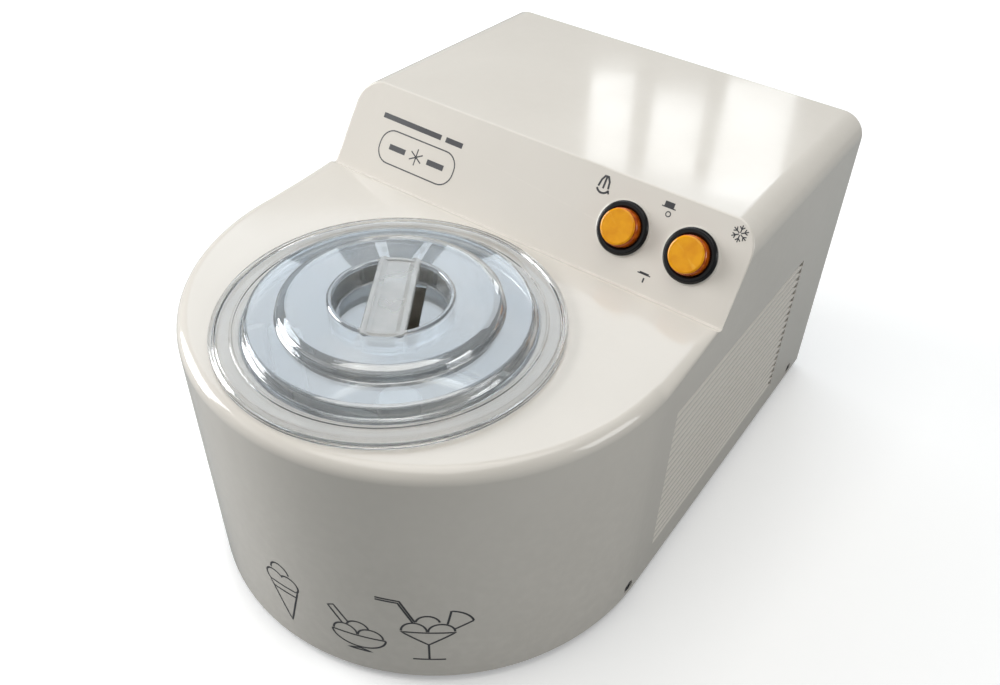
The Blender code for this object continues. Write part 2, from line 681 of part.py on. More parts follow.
def make_bowl(bowl_axis):
    """Fixed steel bowl with a rolled-out rim and a sleeve for the shaft in its middle."""
    turns = (0, pi / 6, pi / 3, pi / 2)
    corner = [(BOWL_CORNER * (1 - cos(a)), BOWL_CORNER * (1 - sin(a))) for a in turns]
    inside = [(BOWL_RADIUS - dx, BOWL_FLOOR + dz) for dx, dz in corner]
    outside = [(HOLE_RADIUS - dx, BOWL_FLOOR - BOWL_WALL + dz) for dx, dz in corner]
    bore = SLEEVE_RADIUS - BOWL_WALL
    sleeve_top = BOWL_FLOOR + SLEEVE_HEIGHT
    rim = HOLE_RADIUS + BOWL_RIM
    profile = ([(SLEEVE_RADIUS, sleeve_top), (SLEEVE_RADIUS, BOWL_FLOOR)] + inside[::-1]
               + [(BOWL_RADIUS, RIM_TOP), (rim, RIM_TOP), (rim, RIM_TOP - BOWL_WALL),
                  (HOLE_RADIUS, RIM_TOP - BOWL_WALL)] + outside
               + [(bore, BOWL_FLOOR - BOWL_WALL), (bore, sleeve_top)])
    finish(turned("bowl", profile, BOWL_STEPS, parent=bowl_axis), "polished_steel")
    seal_low = RIM_TOP + GAP
    seal_high = seal_low + SEAL_THICKNESS
    seal = [(HOLE_RADIUS + MM, seal_high), (rim, seal_high), (rim, seal_low), (HOLE_RADIUS + MM, seal_low)]
    finish(turned("bowl_seal", seal, 30, parent=bowl_axis), "black_rubber")


def make_cold_jacket(bowl_axis):
    """Copper coil wound round the bowl, and the foam cup that holds its cold in."""
    low_z = BOWL_FLOOR + BOWL_CORNER + COIL_TUBE
    around = int(COIL_TURNS * COIL_STEPS)
    route = [(COIL_RADIUS, COIL_LEAD, low_z)]
    for i in range(around + 1):
        a = -2 * pi * COIL_TURNS * i / around
        z = low_z + COIL_PITCH * COIL_TURNS * i / around
        route.append((COIL_RADIUS * cos(a), COIL_RADIUS * sin(a), z))
    high_z = low_z + COIL_PITCH * COIL_TURNS
    route.append((-COIL_RADIUS, COIL_LEAD, high_z))
    pipe("evaporator_coil", route, COIL_TUBE, "copper", bowl_axis)
    floor_top = BOWL_FLOOR - BOWL_WALL - GAP
    hole = SHAFT_RADIUS + RUN_GAP + BUSH_WALL + 3 * MM
    floor_low = floor_top - JACKET_FLOOR
    cup = [(JACKET_INNER, JACKET_TOP), (JACKET_OUTER, JACKET_TOP), (JACKET_OUTER, floor_low),
           (hole, floor_low), (hole, floor_top), (JACKET_INNER, floor_top)]
    jacket = turned("insulation_jacket", cup, JACKET_STEPS, parent=bowl_axis)
    room = COIL_TUBE + 2 * MM
    slots = []
    for x, z in ((COIL_RADIUS, low_z), (-COIL_RADIUS, high_z)):
        slots.append(((x - room, 10 * MM, z - room), (x + room, COIL_LEAD, z + room)))
    apply_modifiers(cut(jacket, boxes("coil_slots", slots, bowl_axis)))
    finish(jacket, "foam")


# ---------------------------------------------------------------- paddle and drive
def make_paddle(bowl_axis):
    """Scraper paddle: a capped hub, a bar along the floor and an upright blade at each end."""
    hub_bore = SLEEVE_RADIUS + MM
    hub = hub_bore + HUB_WALL
    base = BOWL_FLOOR + PADDLE_CLEARANCE
    shoulder = BOWL_FLOOR + SLEEVE_HEIGHT + 2 * MM
    top = SHAFT_TOP + 4 * MM
    socket = SHAFT_RADIUS + GAP
    profile = [(0, top), (hub - 2 * MM, top), (hub, top - 2 * MM), (hub, base), (hub_bore, base),
               (hub_bore, shoulder), (socket, shoulder), (socket, SHAFT_TOP + GAP), (0, SHAFT_TOP + GAP)]
    paddle = turned("mixing_paddle", profile, 24, closed=False, parent=bowl_axis)
    reach = BOWL_RADIUS - PADDLE_CLEARANCE
    half = PADDLE_THICKNESS / 2
    for side in SIDES.values():
        inner, outer = sorted((side * (hub - MM), side * (reach - BOWL_CORNER)))
        bar = box("paddle_bar", (inner, -half, base), (outer, half, base + PADDLE_ARM), bowl_axis)
        near, far = sorted((side * (reach - PADDLE_ARM), side * reach))
        blade = box("paddle_blade", (near, -half, base + BOWL_CORNER), (far, half, base + PADDLE_HEIGHT),
                    bowl_axis)
        join(paddle, bar, blade)
    apply_modifiers(paddle)
    paddle.rotation_euler.z = PADDLE_TURN
    finish(paddle, "white_nylon")


def make_shaft(bowl_axis):
    """Driven shaft with a hexagonal top, its bush in the gearbox boss and the lip seal above the bush."""
    hex_radius = SHAFT_RADIUS - 0.5 * MM
    hex_low = BOWL_FLOOR + SLEEVE_HEIGHT + 2.5 * MM
    low_z = FLOOR_Z + MM
    shaft = rod("drive_shaft", SHAFT_RADIUS, (0, 0, low_z), (0, 0, hex_low), 24, parent=bowl_axis)
    hexagon = rod("shaft_hexagon", hex_radius, (0, 0, hex_low - MM), (0, 0, SHAFT_TOP), 6, parent=bowl_axis)
    finish(apply_modifiers(join(shaft, hexagon)), "shaft_steel")
    inner = SHAFT_RADIUS + RUN_GAP
    outer = inner + BUSH_WALL
    bush = [(outer, BOSS_TOP), (outer, COVER_Z), (inner, COVER_Z), (inner, BOSS_TOP)]
    finish(turned("shaft_bush", bush, 24, parent=bowl_axis), "bronze")
    low = BOSS_TOP + GAP
    lip = low + 4 * MM
    seal = [(inner + MM, lip), (outer + MM, lip - MM), (outer + MM, low), (inner, low), (inner, lip - MM)]
    finish(turned("shaft_seal", seal, 24, parent=bowl_axis), "black_rubber")


def involute(radius, base):
    """Angle between an involute's start on its base circle and its point at a radius."""
    if radius <= base:
        return 0.0
    slope = math.acos(base / radius)
    return tan(slope) - slope


def gear_outline(teeth, turn):
    """Closed outline of a spur gear; the first tooth points along turn."""
    pitch = MODULE * teeth / 2
    base = pitch * cos(PRESSURE_ANGLE)
    tip = pitch + 0.9 * MODULE
    root = pitch - 1.15 * MODULE
    half_tooth = (pi * MODULE / 2 - BACKLASH) / 2 / pitch + involute(pitch, base)
    points = []
    for i in range(teeth):
        middle = turn + 2 * pi * i / teeth
        for radius, side in ((root, -1), (tip, -1), (tip, 1), (root, 1)):
            a = middle + side * (half_tooth - involute(radius, base))
            points.append((radius * cos(a), radius * sin(a)))
    return points


def make_gear(name, teeth, bore, low_z, turn, parent):
    plan = [gear_outline(teeth, turn), circle(bore)]
    return outline_plate(name, plan, low_z, low_z + GEAR_WIDTH, parent)


def make_gears(bowl_axis, idler_axis, motor_axis):
    """Output gear on the shaft, a double idler gear on its pin, and the motor's pinion.

    Each pair meets with a tooth of the front gear pointing back into a gap of the rear one.
    """
    towards_back = pi / 2
    gap_in_front = -pi / 2 + pi / SMALL_TEETH
    output = make_gear("output_gear", OUTPUT_TEETH, SHAFT_RADIUS + GAP, GEAR_A, towards_back, bowl_axis)
    finish(output, "white_nylon")
    bore = IDLER_PIN_RADIUS + RUN_GAP
    idler = make_gear("idler_gear", IDLER_TEETH, bore, GEAR_B, towards_back, idler_axis)
    small = outline_plate("idler_pinion", [gear_outline(SMALL_TEETH, gap_in_front), circle(bore)],
                          GEAR_A, GEAR_B + MM, idler_axis)
    finish(apply_modifiers(join(idler, small)), "white_nylon")
    pin = rod("idler_pin", IDLER_PIN_RADIUS, (0, 0, FLOOR_Z + MM), (0, 0, COVER_TOP - MM), 24,
              parent=idler_axis)
    finish(pin, "shaft_steel")
    pinion = make_gear("motor_pinion", SMALL_TEETH, MOTOR_SHAFT_RADIUS + GAP, GEAR_B, gap_in_front,
                       motor_axis)
    finish(pinion, "bronze")


def make_gearbox():
    """Tray under the bowl that carries all three axes, and its cover with the shaft's boss."""
    output_tip = MODULE * (OUTPUT_TEETH / 2 + 0.9)
    half = output_tip + 2 * MM + TRAY_WALL
    front = BOWL_Y - half
    back = MOTOR_Y + MOTOR_RADIUS
    outer = rounded_rectangle((-half, front), (half, back), 14 * MM)
    inner = rounded_rectangle((TRAY_WALL - half, front + TRAY_WALL), (half - TRAY_WALL, back - TRAY_WALL),
                              11 * MM)
    tray = outline_plate("gearbox_tray", [outer], FLOOR_Z, COVER_Z - GAP)
    room = outline_plate("gear_room", [inner], FLOOR_Z + TRAY_FLOOR, COVER_Z + 5 * MM)
    axes = ((BOWL_Y, SHAFT_RADIUS + RUN_GAP), (IDLER_Y, IDLER_PIN_RADIUS + GAP))
    seat_top = FLOOR_Z + TRAY_FLOOR + MM
    seats = [rod("tray_seat", radius, (0, y, FLOOR_Z - MM), (0, y, seat_top)) for y, radius in axes]
    finish(apply_modifiers(cut(tray, room, *seats)), "grey_plastic")
    bush_hole = SHAFT_RADIUS + RUN_GAP + BUSH_WALL + GAP
    holes = [circle(bush_hole, 24, (0, BOWL_Y)), circle(IDLER_PIN_RADIUS + GAP, 24, (0, IDLER_Y)),
             circle(MOTOR_SHAFT_RADIUS + MM, 24, (0, MOTOR_Y))]
    cover = outline_plate("gearbox_cover", [outer, *holes], COVER_Z, COVER_TOP)
    boss = [(bush_hole + 3 * MM, BOSS_TOP), (bush_hole + 4 * MM, COVER_TOP - MM), (bush_hole, COVER_TOP - MM),
            (bush_hole, BOSS_TOP)]
    boss_ring = turned("cover_boss", boss, 24, location=(0, BOWL_Y, 0))
    finish(apply_modifiers(join(cover, boss_ring)), "grey_plastic")


def make_motor(motor_axis):
    """Upright motor on the gearbox cover: an open-bored can with the rotor running in it."""
    low = COVER_TOP + GAP
    top = low + MOTOR_HEIGHT
    core = MOTOR_RADIUS - MOTOR_CAN
    bore = MOTOR_SHAFT_RADIUS + MM
    end = 5 * MM
    can = [(bore, top), (MOTOR_RADIUS - 2 * MM, top), (MOTOR_RADIUS, top - 2 * MM), (MOTOR_RADIUS, low),
           (bore, low), (bore, low + end), (core, low + end), (core, top - end), (bore, top - end)]
    finish(turned("motor_housing", can, 24, parent=motor_axis), "aluminium")
    shaft = MOTOR_SHAFT_RADIUS
    iron = core - MM
    iron_low = low + end + 4 * MM
    iron_top = top - end - 4 * MM
    rotor = [(0, top + 3 * MM), (shaft, top + 3 * MM), (shaft, iron_top), (iron, iron_top), (iron, iron_low),
             (shaft, iron_low), (shaft, GEAR_B - MM), (0, GEAR_B - MM)]
    finish(turned("motor_rotor", rotor, 24, closed=False, parent=motor_axis), "shaft_steel")


# ---------------------------------------------------------------- cooling machine
def make_compressor():
    """Welded steel dome on a plate, three rubber mounts under it and the start relay on its side."""
    low = FLOOR_Z + MOUNT_HEIGHT + GAP
    top = low + COMPRESSOR_HEIGHT
    wide = COMPRESSOR_RADIUS
    plate_top = low + 3 * MM
    dome = [(wide * sin(a), top - 30 * MM + 30 * MM * cos(a)) for a in (0, pi / 6, pi / 3, pi / 2)]
    seam = low + COMPRESSOR_HEIGHT * 0.45
    weld = wide + 2 * MM
    profile = dome + [(wide, seam + 3 * MM), (weld, seam + 3 * MM), (weld, seam), (wide, seam),
                      (wide, plate_top + 10 * MM), (wide * 0.8, plate_top - MM), (0, plate_top - MM)]
    centre = (COMPRESSOR_X, COMPRESSOR_Y, 0)
    shell = turned("compressor", profile, 24, closed=False, location=centre)
    foot = rounded_rectangle((-wide * 1.05, -wide * 0.95), (wide * 1.05, wide * 0.95), 12 * MM)
    plate = outline_plate("compressor_plate", [foot], low, plate_top, location=centre)
    finish(apply_modifiers(join(shell, plate)), "black_enamel")
    for i, (x, y) in enumerate(((-0.8, -0.7), (0.8, -0.7), (0, 0.7)), 1):
        profile = [(0, low - GAP), (7 * MM, low - GAP), (5 * MM, low - 3 * MM), (8 * MM, FLOOR_Z),
                   (0, FLOOR_Z)]
        mount = turned("compressor_mount_%d" % i, profile, 16, closed=False,
                       location=(COMPRESSOR_X + x * wide, COMPRESSOR_Y + y * wide, 0))
        finish(mount, "black_rubber")
    near = COMPRESSOR_X + wide + 3 * MM
    relay = box("start_relay", (near, COMPRESSOR_Y - 14 * MM, seam + 6 * MM),
                (near + 14 * MM, COMPRESSOR_Y + 14 * MM, seam + 40 * MM))
    finish(relay, "black_plastic")


def make_condenser():
    """Block of upright fins joined by level bars, behind the right-hand louvres."""
    depth, length, height = CONDENSER_SIZE
    low = Vector((CONDENSER_X, CONDENSER_Y, CONDENSER_Z))
    high = low + Vector(CONDENSER_SIZE)
    fin = 1.5 * MM
    pitch = (length - fin) / (FIN_COUNT - 1)
    gaps = []
    for i in range(FIN_COUNT - 1):
        start = low.y + i * pitch + fin
        gaps.append(((low.x - MM, start, low.z + 4 * MM),
                     (high.x - 5 * MM, start + pitch - fin, high.z - 4 * MM)))
    block = box("condenser", low, high)
    finish(apply_modifiers(cut(block, boxes("fin_gaps", gaps))), "aluminium")


def make_fan(fan_axis):
    """Fan that draws air through the condenser, with its shroud, motor and bracket."""
    hub = 12 * MM
    bore = 2 * MM
    inner = bore + GAP
    fan = turned("fan", [(hub, FAN_WIDTH), (hub, 0), (inner, 0), (inner, FAN_WIDTH)], 20, parent=fan_axis)
    for i in range(FAN_BLADES):
        blade = box("fan_blade", (hub - 2 * MM, -12 * MM, -0.8 * MM), (FAN_RADIUS, 12 * MM, 0.8 * MM))
        lean = Matrix.Rotation(radians(18), 4, "X")
        spin = Matrix.Rotation(2 * pi * i / FAN_BLADES, 4, "Z")
        blade.data.transform(Matrix.Translation((0, 0, FAN_WIDTH / 2)) @ spin @ lean)
        blade.parent = fan_axis
        join(fan, blade)
    finish(apply_modifiers(fan), "grey_plastic")
    back = -2 * MM
    motor = [(0, FAN_WIDTH), (bore, FAN_WIDTH), (bore, back), (FAN_MOTOR_RADIUS - 4 * MM, back),
             (FAN_MOTOR_RADIUS, back - 4 * MM), (FAN_MOTOR_RADIUS, back - FAN_MOTOR_LENGTH),
             (0, back - FAN_MOTOR_LENGTH)]
    finish(turned("fan_motor", motor, 20, closed=False, parent=fan_axis), "black_enamel")
    low = Vector((SHROUD_X - 2 * MM, CONDENSER_Y, CONDENSER_Z))
    shroud = box("fan_shroud", low, (SHROUD_X, low.y + CONDENSER_SIZE[1], low.z + CONDENSER_SIZE[2]))
    ring = rod("shroud_hole", FAN_RADIUS + 3 * MM, (SHROUD_X - 20 * MM, FAN_Y, FAN_Z),
               (SHROUD_X + 20 * MM, FAN_Y, FAN_Z), 32)
    finish(apply_modifiers(cut(shroud, ring)), "sheet_steel")
    plate_x = FAN_X + back - FAN_MOTOR_LENGTH - GAP
    half = FAN_MOTOR_RADIUS + 2 * MM
    upright = box("fan_bracket", (plate_x - 2 * MM, FAN_Y - half, FLOOR_Z),
                  (plate_x, FAN_Y + half, FAN_Z + half))
    foot = box("bracket_foot", (plate_x - 20 * MM, FAN_Y - half, FLOOR_Z),
               (plate_x, FAN_Y + half, FLOOR_Z + 2 * MM))
    finish(apply_modifiers(join(upright, foot)), "sheet_steel")


def beside_compressor(angle, height):
    """A point just off the compressor's side, where a pipe meets it."""
    reach = COMPRESSOR_RADIUS + MM
    return Vector((COMPRESSOR_X + reach * cos(angle), COMPRESSOR_Y + reach * sin(angle), height))


def make_pipes():
    """Copper pipes of the cooling circuit, from compressor round to compressor."""
    bend = 8 * MM
    low_z = BOWL_FLOOR + BOWL_CORNER + COIL_TUBE
    high_z = low_z + COIL_PITCH * COIL_TURNS
    lead_y = BOWL_Y + COIL_LEAD + GAP
    top = CONDENSER_Z + CONDENSER_SIZE[2]
    middle_x = CONDENSER_X + CONDENSER_SIZE[0] / 2
    drop_y = CONDENSER_Y + CONDENSER_SIZE[1] - 20 * MM
    crest = top + 10 * MM
    start = beside_compressor(radians(25), top - 16 * MM)
    out = start + Vector((16 * MM, 0, 0))
    corners = [start, out, (out.x, out.y, crest), (out.x, drop_y, crest), (middle_x, drop_y, crest),
               (middle_x, drop_y, top + GAP)]
    pipe("discharge_line", smooth_bends(corners, bend), PIPE_RADIUS, "copper")
    entry = beside_compressor(radians(235), FLOOR_Z + 70 * MM)
    before = entry + Vector((cos(radians(235)), sin(radians(235)), 0)) * 14 * MM
    corners = [(-COIL_RADIUS, lead_y, high_z), (-COIL_RADIUS, lead_y + 22 * MM, high_z),
               (before.x, before.y, high_z), before, entry]
    pipe("suction_line", smooth_bends(corners, bend), PIPE_RADIUS, "copper")
    drier_z = CONDENSER_Z + 20 * MM
    drier_length = 44 * MM
    drier_back = CONDENSER_Y - 14 * MM
    pipe("liquid_line", [(middle_x, CONDENSER_Y - GAP, drier_z), (middle_x, drier_back + GAP, drier_z)],
         PIPE_RADIUS, "copper")
    drier_front = drier_back - drier_length
    body = 8 * MM
    neck = 3 * MM
    taper = 6 * MM
    profile = [(0, 0), (neck, 0), (body, -taper), (body, -drier_length + taper), (neck, -drier_length),
               (0, -drier_length)]
    drier = turned("filter_drier", profile, 16, closed=False, location=(middle_x, drier_back, drier_z))
    drier.rotation_euler.x = -pi / 2
    finish(drier, "copper")
    turn_y = drier_front - 14 * MM
    side_x = (middle_x + COIL_RADIUS) / 2
    corners = [(middle_x, drier_front - GAP, drier_z), (middle_x, turn_y, drier_z), (side_x, turn_y, low_z),
               (side_x, lead_y + 24 * MM, low_z), (COIL_RADIUS, lead_y + 24 * MM, low_z),
               (COIL_RADIUS, lead_y, low_z)]
    pipe("capillary_tube", smooth_bends(corners, 5 * MM, 3), CAPILLARY_RADIUS, "copper")


# ---------------------------------------------------------------- switches and inlet
def make_switch(name, x):
    """Round push switch: the bezel and body through the panel, its nut behind, and the amber button."""
    seat = anchor(name + "_axis", panel_point(x, SWITCH_RISE), (pi / 2 - PANEL_LEAN, 0, 0))
    bore = BUTTON_RADIUS + SLIDE_GAP
    front = GAP + BEZEL_HEIGHT
    floor = -BUTTON_SKIRT - BUTTON_TRAVEL - MM
    end = floor - 3 * MM
    profile = [(0, floor), (bore, floor), (bore, front - 0.6 * MM), (bore + 0.8 * MM, front),
               (BEZEL_RADIUS - 1.2 * MM, front), (BEZEL_RADIUS, front - 1.2 * MM), (BEZEL_RADIUS, GAP),
               (BARREL_RADIUS, GAP), (BARREL_RADIUS, end), (0, end)]
    body = turned(name, profile, 24, closed=False, parent=seat)
    half = SWITCH_BLOCK / 2
    block = box("switch_block", (-half, -half * 0.8, -SWITCH_DEPTH), (half, half * 0.8, end + 2 * MM), seat)
    finish(apply_modifiers(join(body, block)), "black_plastic")
    nut_top = -WALL - GAP
    nut = outline_plate(name + "_nut", [circle(NUT_RADIUS, 6), circle(BARREL_RADIUS + GAP, 24)],
                        nut_top - NUT_HEIGHT, nut_top, seat)
    finish(nut, "black_plastic")
    face = front + BUTTON_RISE
    narrow = BUTTON_RADIUS - BUTTON_TAPER
    cap = [(0, face), (narrow - MM, face), (narrow, face - MM), (BUTTON_RADIUS, front),
           (BUTTON_RADIUS, -BUTTON_SKIRT), (0, -BUTTON_SKIRT)]
    finish(turned(name.replace("switch", "button"), cap, 24, closed=False, parent=seat), "amber_plastic")


def make_inlet():
    """Three-pin mains inlet let into the rear wall, its flange flush with the wall."""
    x, z = INLET_PLACE
    flange_w, flange_h, flange_t = INLET_FLANGE
    body_w, body_h, body_d = INLET_BODY
    mouth_w, mouth_h, mouth_d = INLET_MOUTH
    flange = box("power_inlet", (x - flange_w / 2, REAR_Y - flange_t, z - flange_h / 2),
                 (x + flange_w / 2, REAR_Y, z + flange_h / 2))
    body = box("inlet_body", (x - body_w / 2, REAR_Y - body_d, z - body_h / 2),
               (x + body_w / 2, REAR_Y - flange_t / 2, z + body_h / 2))
    mouth = box("inlet_mouth", (x - mouth_w / 2, REAR_Y - mouth_d, z - mouth_h / 2),
                (x + mouth_w / 2, REAR_Y + MM, z + mouth_h / 2))
    finish(apply_modifiers(cut(join(flange, body), mouth)), "black_plastic")
    thick, long, high = PIN_SIZE
    floor = REAR_Y - mouth_d + GAP
    for name, dx, dz in (("live", -PIN_SPACING, -MM), ("neutral", PIN_SPACING, -MM), ("earth", 0, 3 * MM)):
        pin = box("inlet_pin_" + name, (x + dx - thick / 2, floor, z + dz - high / 2),
                  (x + dx + thick / 2, floor + long, z + dz + high / 2))
        finish(pin, "aluminium")


# ---------------------------------------------------------------- assembly
def build():
    bowl_axis = anchor("bowl_axis", (0, BOWL_Y, 0))
    idler_axis = anchor("idler_axis", (0, IDLER_Y, 0))
    motor_axis = anchor("motor_axis", (0, MOTOR_Y, 0))
    fan_axis = anchor("fan_axis", (FAN_X, FAN_Y, FAN_Z), (0, pi / 2, 0))
    make_housing()
    make_base()
    make_lid(bowl_axis)
    make_lid_handle(bowl_axis)
    make_bowl(bowl_axis)
    make_cold_jacket(bowl_axis)
    make_paddle(bowl_axis)
    make_shaft(bowl_axis)
    make_gears(bowl_axis, idler_axis, motor_axis)
    make_gearbox()
    make_motor(motor_axis)
    make_compressor()
    make_condenser()
    make_fan(fan_axis)
    make_pipes()
    for name, x in zip(("mixer_switch", "cooling_switch"), SWITCH_X):
        make_switch(name, x)
    make_inlet()


build()
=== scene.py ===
import json
from math import cos, pi, radians, sin, sqrt, tan

import bmesh
import bpy
from mathutils import Matrix, Vector


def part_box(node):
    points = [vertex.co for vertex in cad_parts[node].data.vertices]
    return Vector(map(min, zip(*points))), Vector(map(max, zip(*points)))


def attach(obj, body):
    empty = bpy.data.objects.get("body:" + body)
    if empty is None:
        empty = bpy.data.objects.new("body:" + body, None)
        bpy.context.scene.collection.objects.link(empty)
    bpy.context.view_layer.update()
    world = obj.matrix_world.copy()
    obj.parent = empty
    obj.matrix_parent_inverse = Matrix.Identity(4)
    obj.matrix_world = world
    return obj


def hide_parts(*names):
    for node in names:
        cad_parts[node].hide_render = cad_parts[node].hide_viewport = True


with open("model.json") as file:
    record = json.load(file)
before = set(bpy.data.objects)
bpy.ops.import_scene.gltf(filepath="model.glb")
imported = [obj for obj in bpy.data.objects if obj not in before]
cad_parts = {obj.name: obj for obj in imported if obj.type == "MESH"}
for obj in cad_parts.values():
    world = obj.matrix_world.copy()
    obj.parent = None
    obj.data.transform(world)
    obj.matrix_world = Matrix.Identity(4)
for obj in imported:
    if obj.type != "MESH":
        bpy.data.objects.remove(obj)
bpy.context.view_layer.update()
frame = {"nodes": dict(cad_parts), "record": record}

MM = 0.001

# ---------------------------------------------------------------- sizes
SHELL_LOW, SHELL_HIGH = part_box("body_shell")
SKIN = 0.1 * MM                          # printed marks stand this far inside the housing's box
HALF_WIDTH = SHELL_HIGH.x - SKIN
FRONT_Y = SHELL_LOW.y + SKIN
REAR_Y = SHELL_HIGH.y
ARC_Y = FRONT_Y + HALF_WIDTH
SHELL_Z = SHELL_LOW.z
DECK_Z = SHELL_Z + 154 * MM
TOP_Z = SHELL_HIGH.z
WALL = 3 * MM
DECK_RADIUS = 7 * MM
TOP_RADIUS = 15 * MM
REAR_RADIUS = 2 * MM
PANEL_RADIUS = 0.9 * MM
LEAN = radians(33.8)
PANEL_Y = 2 * MM
GROOVE = (1.5 * MM, 1.5 * MM, 3 * MM)    # depth, flat and slope of the valley at the panel's foot
BOWL_Y = -96 * MM
HOLE_RADIUS = 73 * MM
SWITCH_X = {"mixer": 63.5 * MM, "cooling": 104.5 * MM}
SWITCH_RISE = 27 * MM
LOUVRES = {"count": 19, "pitch": 5.6 * MM, "low": SHELL_Z + 19.5 * MM, "front": -39 * MM, "rear": 129 * MM}
GROOVE_DEPTHS = (1.1 * MM, 2.0 * MM)     # of a louvre's groove at its front and rear ends
SCREW_YS = (-62.5 * MM, 167 * MM)
SCREW_Z = SHELL_Z + 6 * MM
INLET_GAP = 0.3 * MM                     # round the mains inlet's flange
HANDLE_TURN = radians(33.4)
HANDLE_HALF = (11 * MM, 32 * MM)         # half width and reach of the bar across the lid's well
RIM_REACH = 74 * MM                      # the lid's thin rim lies beyond this
CAP_FACE = 7.7 * MM                      # the pressed face of a button lies above this; the sides below take a darker amber, painted shade


def panel_point(x, rise, out=0.0):
    """A point on the sloped panel: across, up its slope from its foot, and out from its face."""
    y = PANEL_Y + rise * sin(LEAN) - out * cos(LEAN)
    return Vector((x, y, DECK_Z + rise * cos(LEAN) + out * sin(LEAN)))


# ---------------------------------------------------------------- shader groups
def new_group(name, inputs, outputs):
    """A shader group with its own sockets, and the nodes that stand for its inputs and outputs."""
    group = bpy.data.node_groups.new(name, "ShaderNodeTree")
    for label, kind, value in inputs:
        socket = group.interface.new_socket(label, in_out="INPUT", socket_type="NodeSocket" + kind)
        socket.default_value = value
    for label, kind in outputs:
        group.interface.new_socket(label, in_out="OUTPUT", socket_type="NodeSocket" + kind)
    return group, group.nodes.new("NodeGroupInput"), group.nodes.new("NodeGroupOutput")


def add_node(tree, kind, **settings):
    node = tree.nodes.new(kind)
    for key, value in settings.items():
        if key in node.inputs:
            node.inputs[key].default_value = value
        else:
            setattr(node, key, value)
    return node


def mix_colour(tree, factor, first, second):
    """Links a colour mix and gives its result."""
    mix = add_node(tree, "ShaderNodeMix", data_type="RGBA")
    tree.links.new(factor, mix.inputs["Factor"])
    for source, place in ((first, 6), (second, 7)):
        tree.links.new(source, mix.inputs[place])
    return mix.outputs[2]


def stretch(tree, value, low, high, to_low=0.0, to_high=1.0):
    """Maps one range of a value to another; the ends may be numbers or sockets."""
    ranged = add_node(tree, "ShaderNodeMapRange")
    tree.links.new(value, ranged.inputs["Value"])
    for label, end in (("From Min", low), ("From Max", high), ("To Min", to_low), ("To Max", to_high)):
        if isinstance(end, (int, float)):
            ranged.inputs[label].default_value = end
        else:
            tree.links.new(end, ranged.inputs[label])
    return ranged.outputs["Result"]


def noise(tree, place, scale, detail=4.0):
    made = add_node(tree, "ShaderNodeTexNoise", Detail=detail)
    tree.links.new(place, made.inputs["Vector"])
    if isinstance(scale, (int, float)):
        made.inputs["Scale"].default_value = scale
    else:
        tree.links.new(scale, made.inputs["Scale"])
    return made.outputs["Fac"]


def make_tone_group():
    """Colour that drifts a little over a large surface, paler where the edges are rubbed."""
    inputs = [("Colour", "Color", (0.8, 0.8, 0.8, 1)), ("Shade", "Color", (0.7, 0.7, 0.7, 1)),
              ("Edge", "Color", (0.9, 0.9, 0.9, 1)), ("Scale", "Float", 12.0), ("Wear", "Float", 0.4)]
    tree, given, result = new_group("tone_and_edge_wear", inputs, [("Colour", "Color"), ("Edges", "Float")])
    place = add_node(tree, "ShaderNodeTexCoord").outputs["Object"]
    drift = stretch(tree, noise(tree, place, given.outputs["Scale"]), 0.35, 0.65)
    toned = mix_colour(tree, drift, given.outputs["Colour"], given.outputs["Shade"])
    point = add_node(tree, "ShaderNodeNewGeometry").outputs["Pointiness"]
    edges = stretch(tree, point, 0.515, 0.58)
    rubbed = stretch(tree, noise(tree, place, 180.0, 6.0), 0.4, 0.7)
    both = add_node(tree, "ShaderNodeMath", operation="MULTIPLY")
    tree.links.new(edges, both.inputs[0])
    tree.links.new(rubbed, both.inputs[1])
    amount = add_node(tree, "ShaderNodeMath", operation="MULTIPLY")
    tree.links.new(both.outputs[0], amount.inputs[0])
    tree.links.new(given.outputs["Wear"], amount.inputs[1])
    tree.links.new(mix_colour(tree, amount.outputs[0], toned, given.outputs["Edge"]), result.inputs["Colour"])
    tree.links.new(amount.outputs[0], result.inputs["Edges"])
    return tree


def make_grain_group():
    """Fine moulded or rolled grain: a bump and a roughness that varies with it."""
    inputs = [("Scale", "Float", 900.0), ("Depth", "Float", 0.02), ("Stretch", "Vector", (1, 1, 1)),
              ("Smooth", "Float", 0.1), ("Rough", "Float", 0.2)]
    tree, given, result = new_group("surface_grain", inputs, [("Roughness", "Float"), ("Normal", "Vector")])
    place = add_node(tree, "ShaderNodeTexCoord").outputs["Object"]
    shaped = add_node(tree, "ShaderNodeVectorMath", operation="MULTIPLY")
    tree.links.new(place, shaped.inputs[0])
    tree.links.new(given.outputs["Stretch"], shaped.inputs[1])
    fine = noise(tree, shaped.outputs[0], given.outputs["Scale"], 2.0)
    broad = noise(tree, place, 25.0, 3.0)
    rough = stretch(tree, broad, 0.3, 0.7, given.outputs["Smooth"], given.outputs["Rough"])
    tree.links.new(rough, result.inputs["Roughness"])
    bump = add_node(tree, "ShaderNodeBump", Distance=0.0002)
    tree.links.new(fine, bump.inputs["Height"])
    tree.links.new(given.outputs["Depth"], bump.inputs["Strength"])
    tree.links.new(bump.outputs["Normal"], result.inputs["Normal"])
    return tree


TONE = make_tone_group()
GRAIN = make_grain_group()


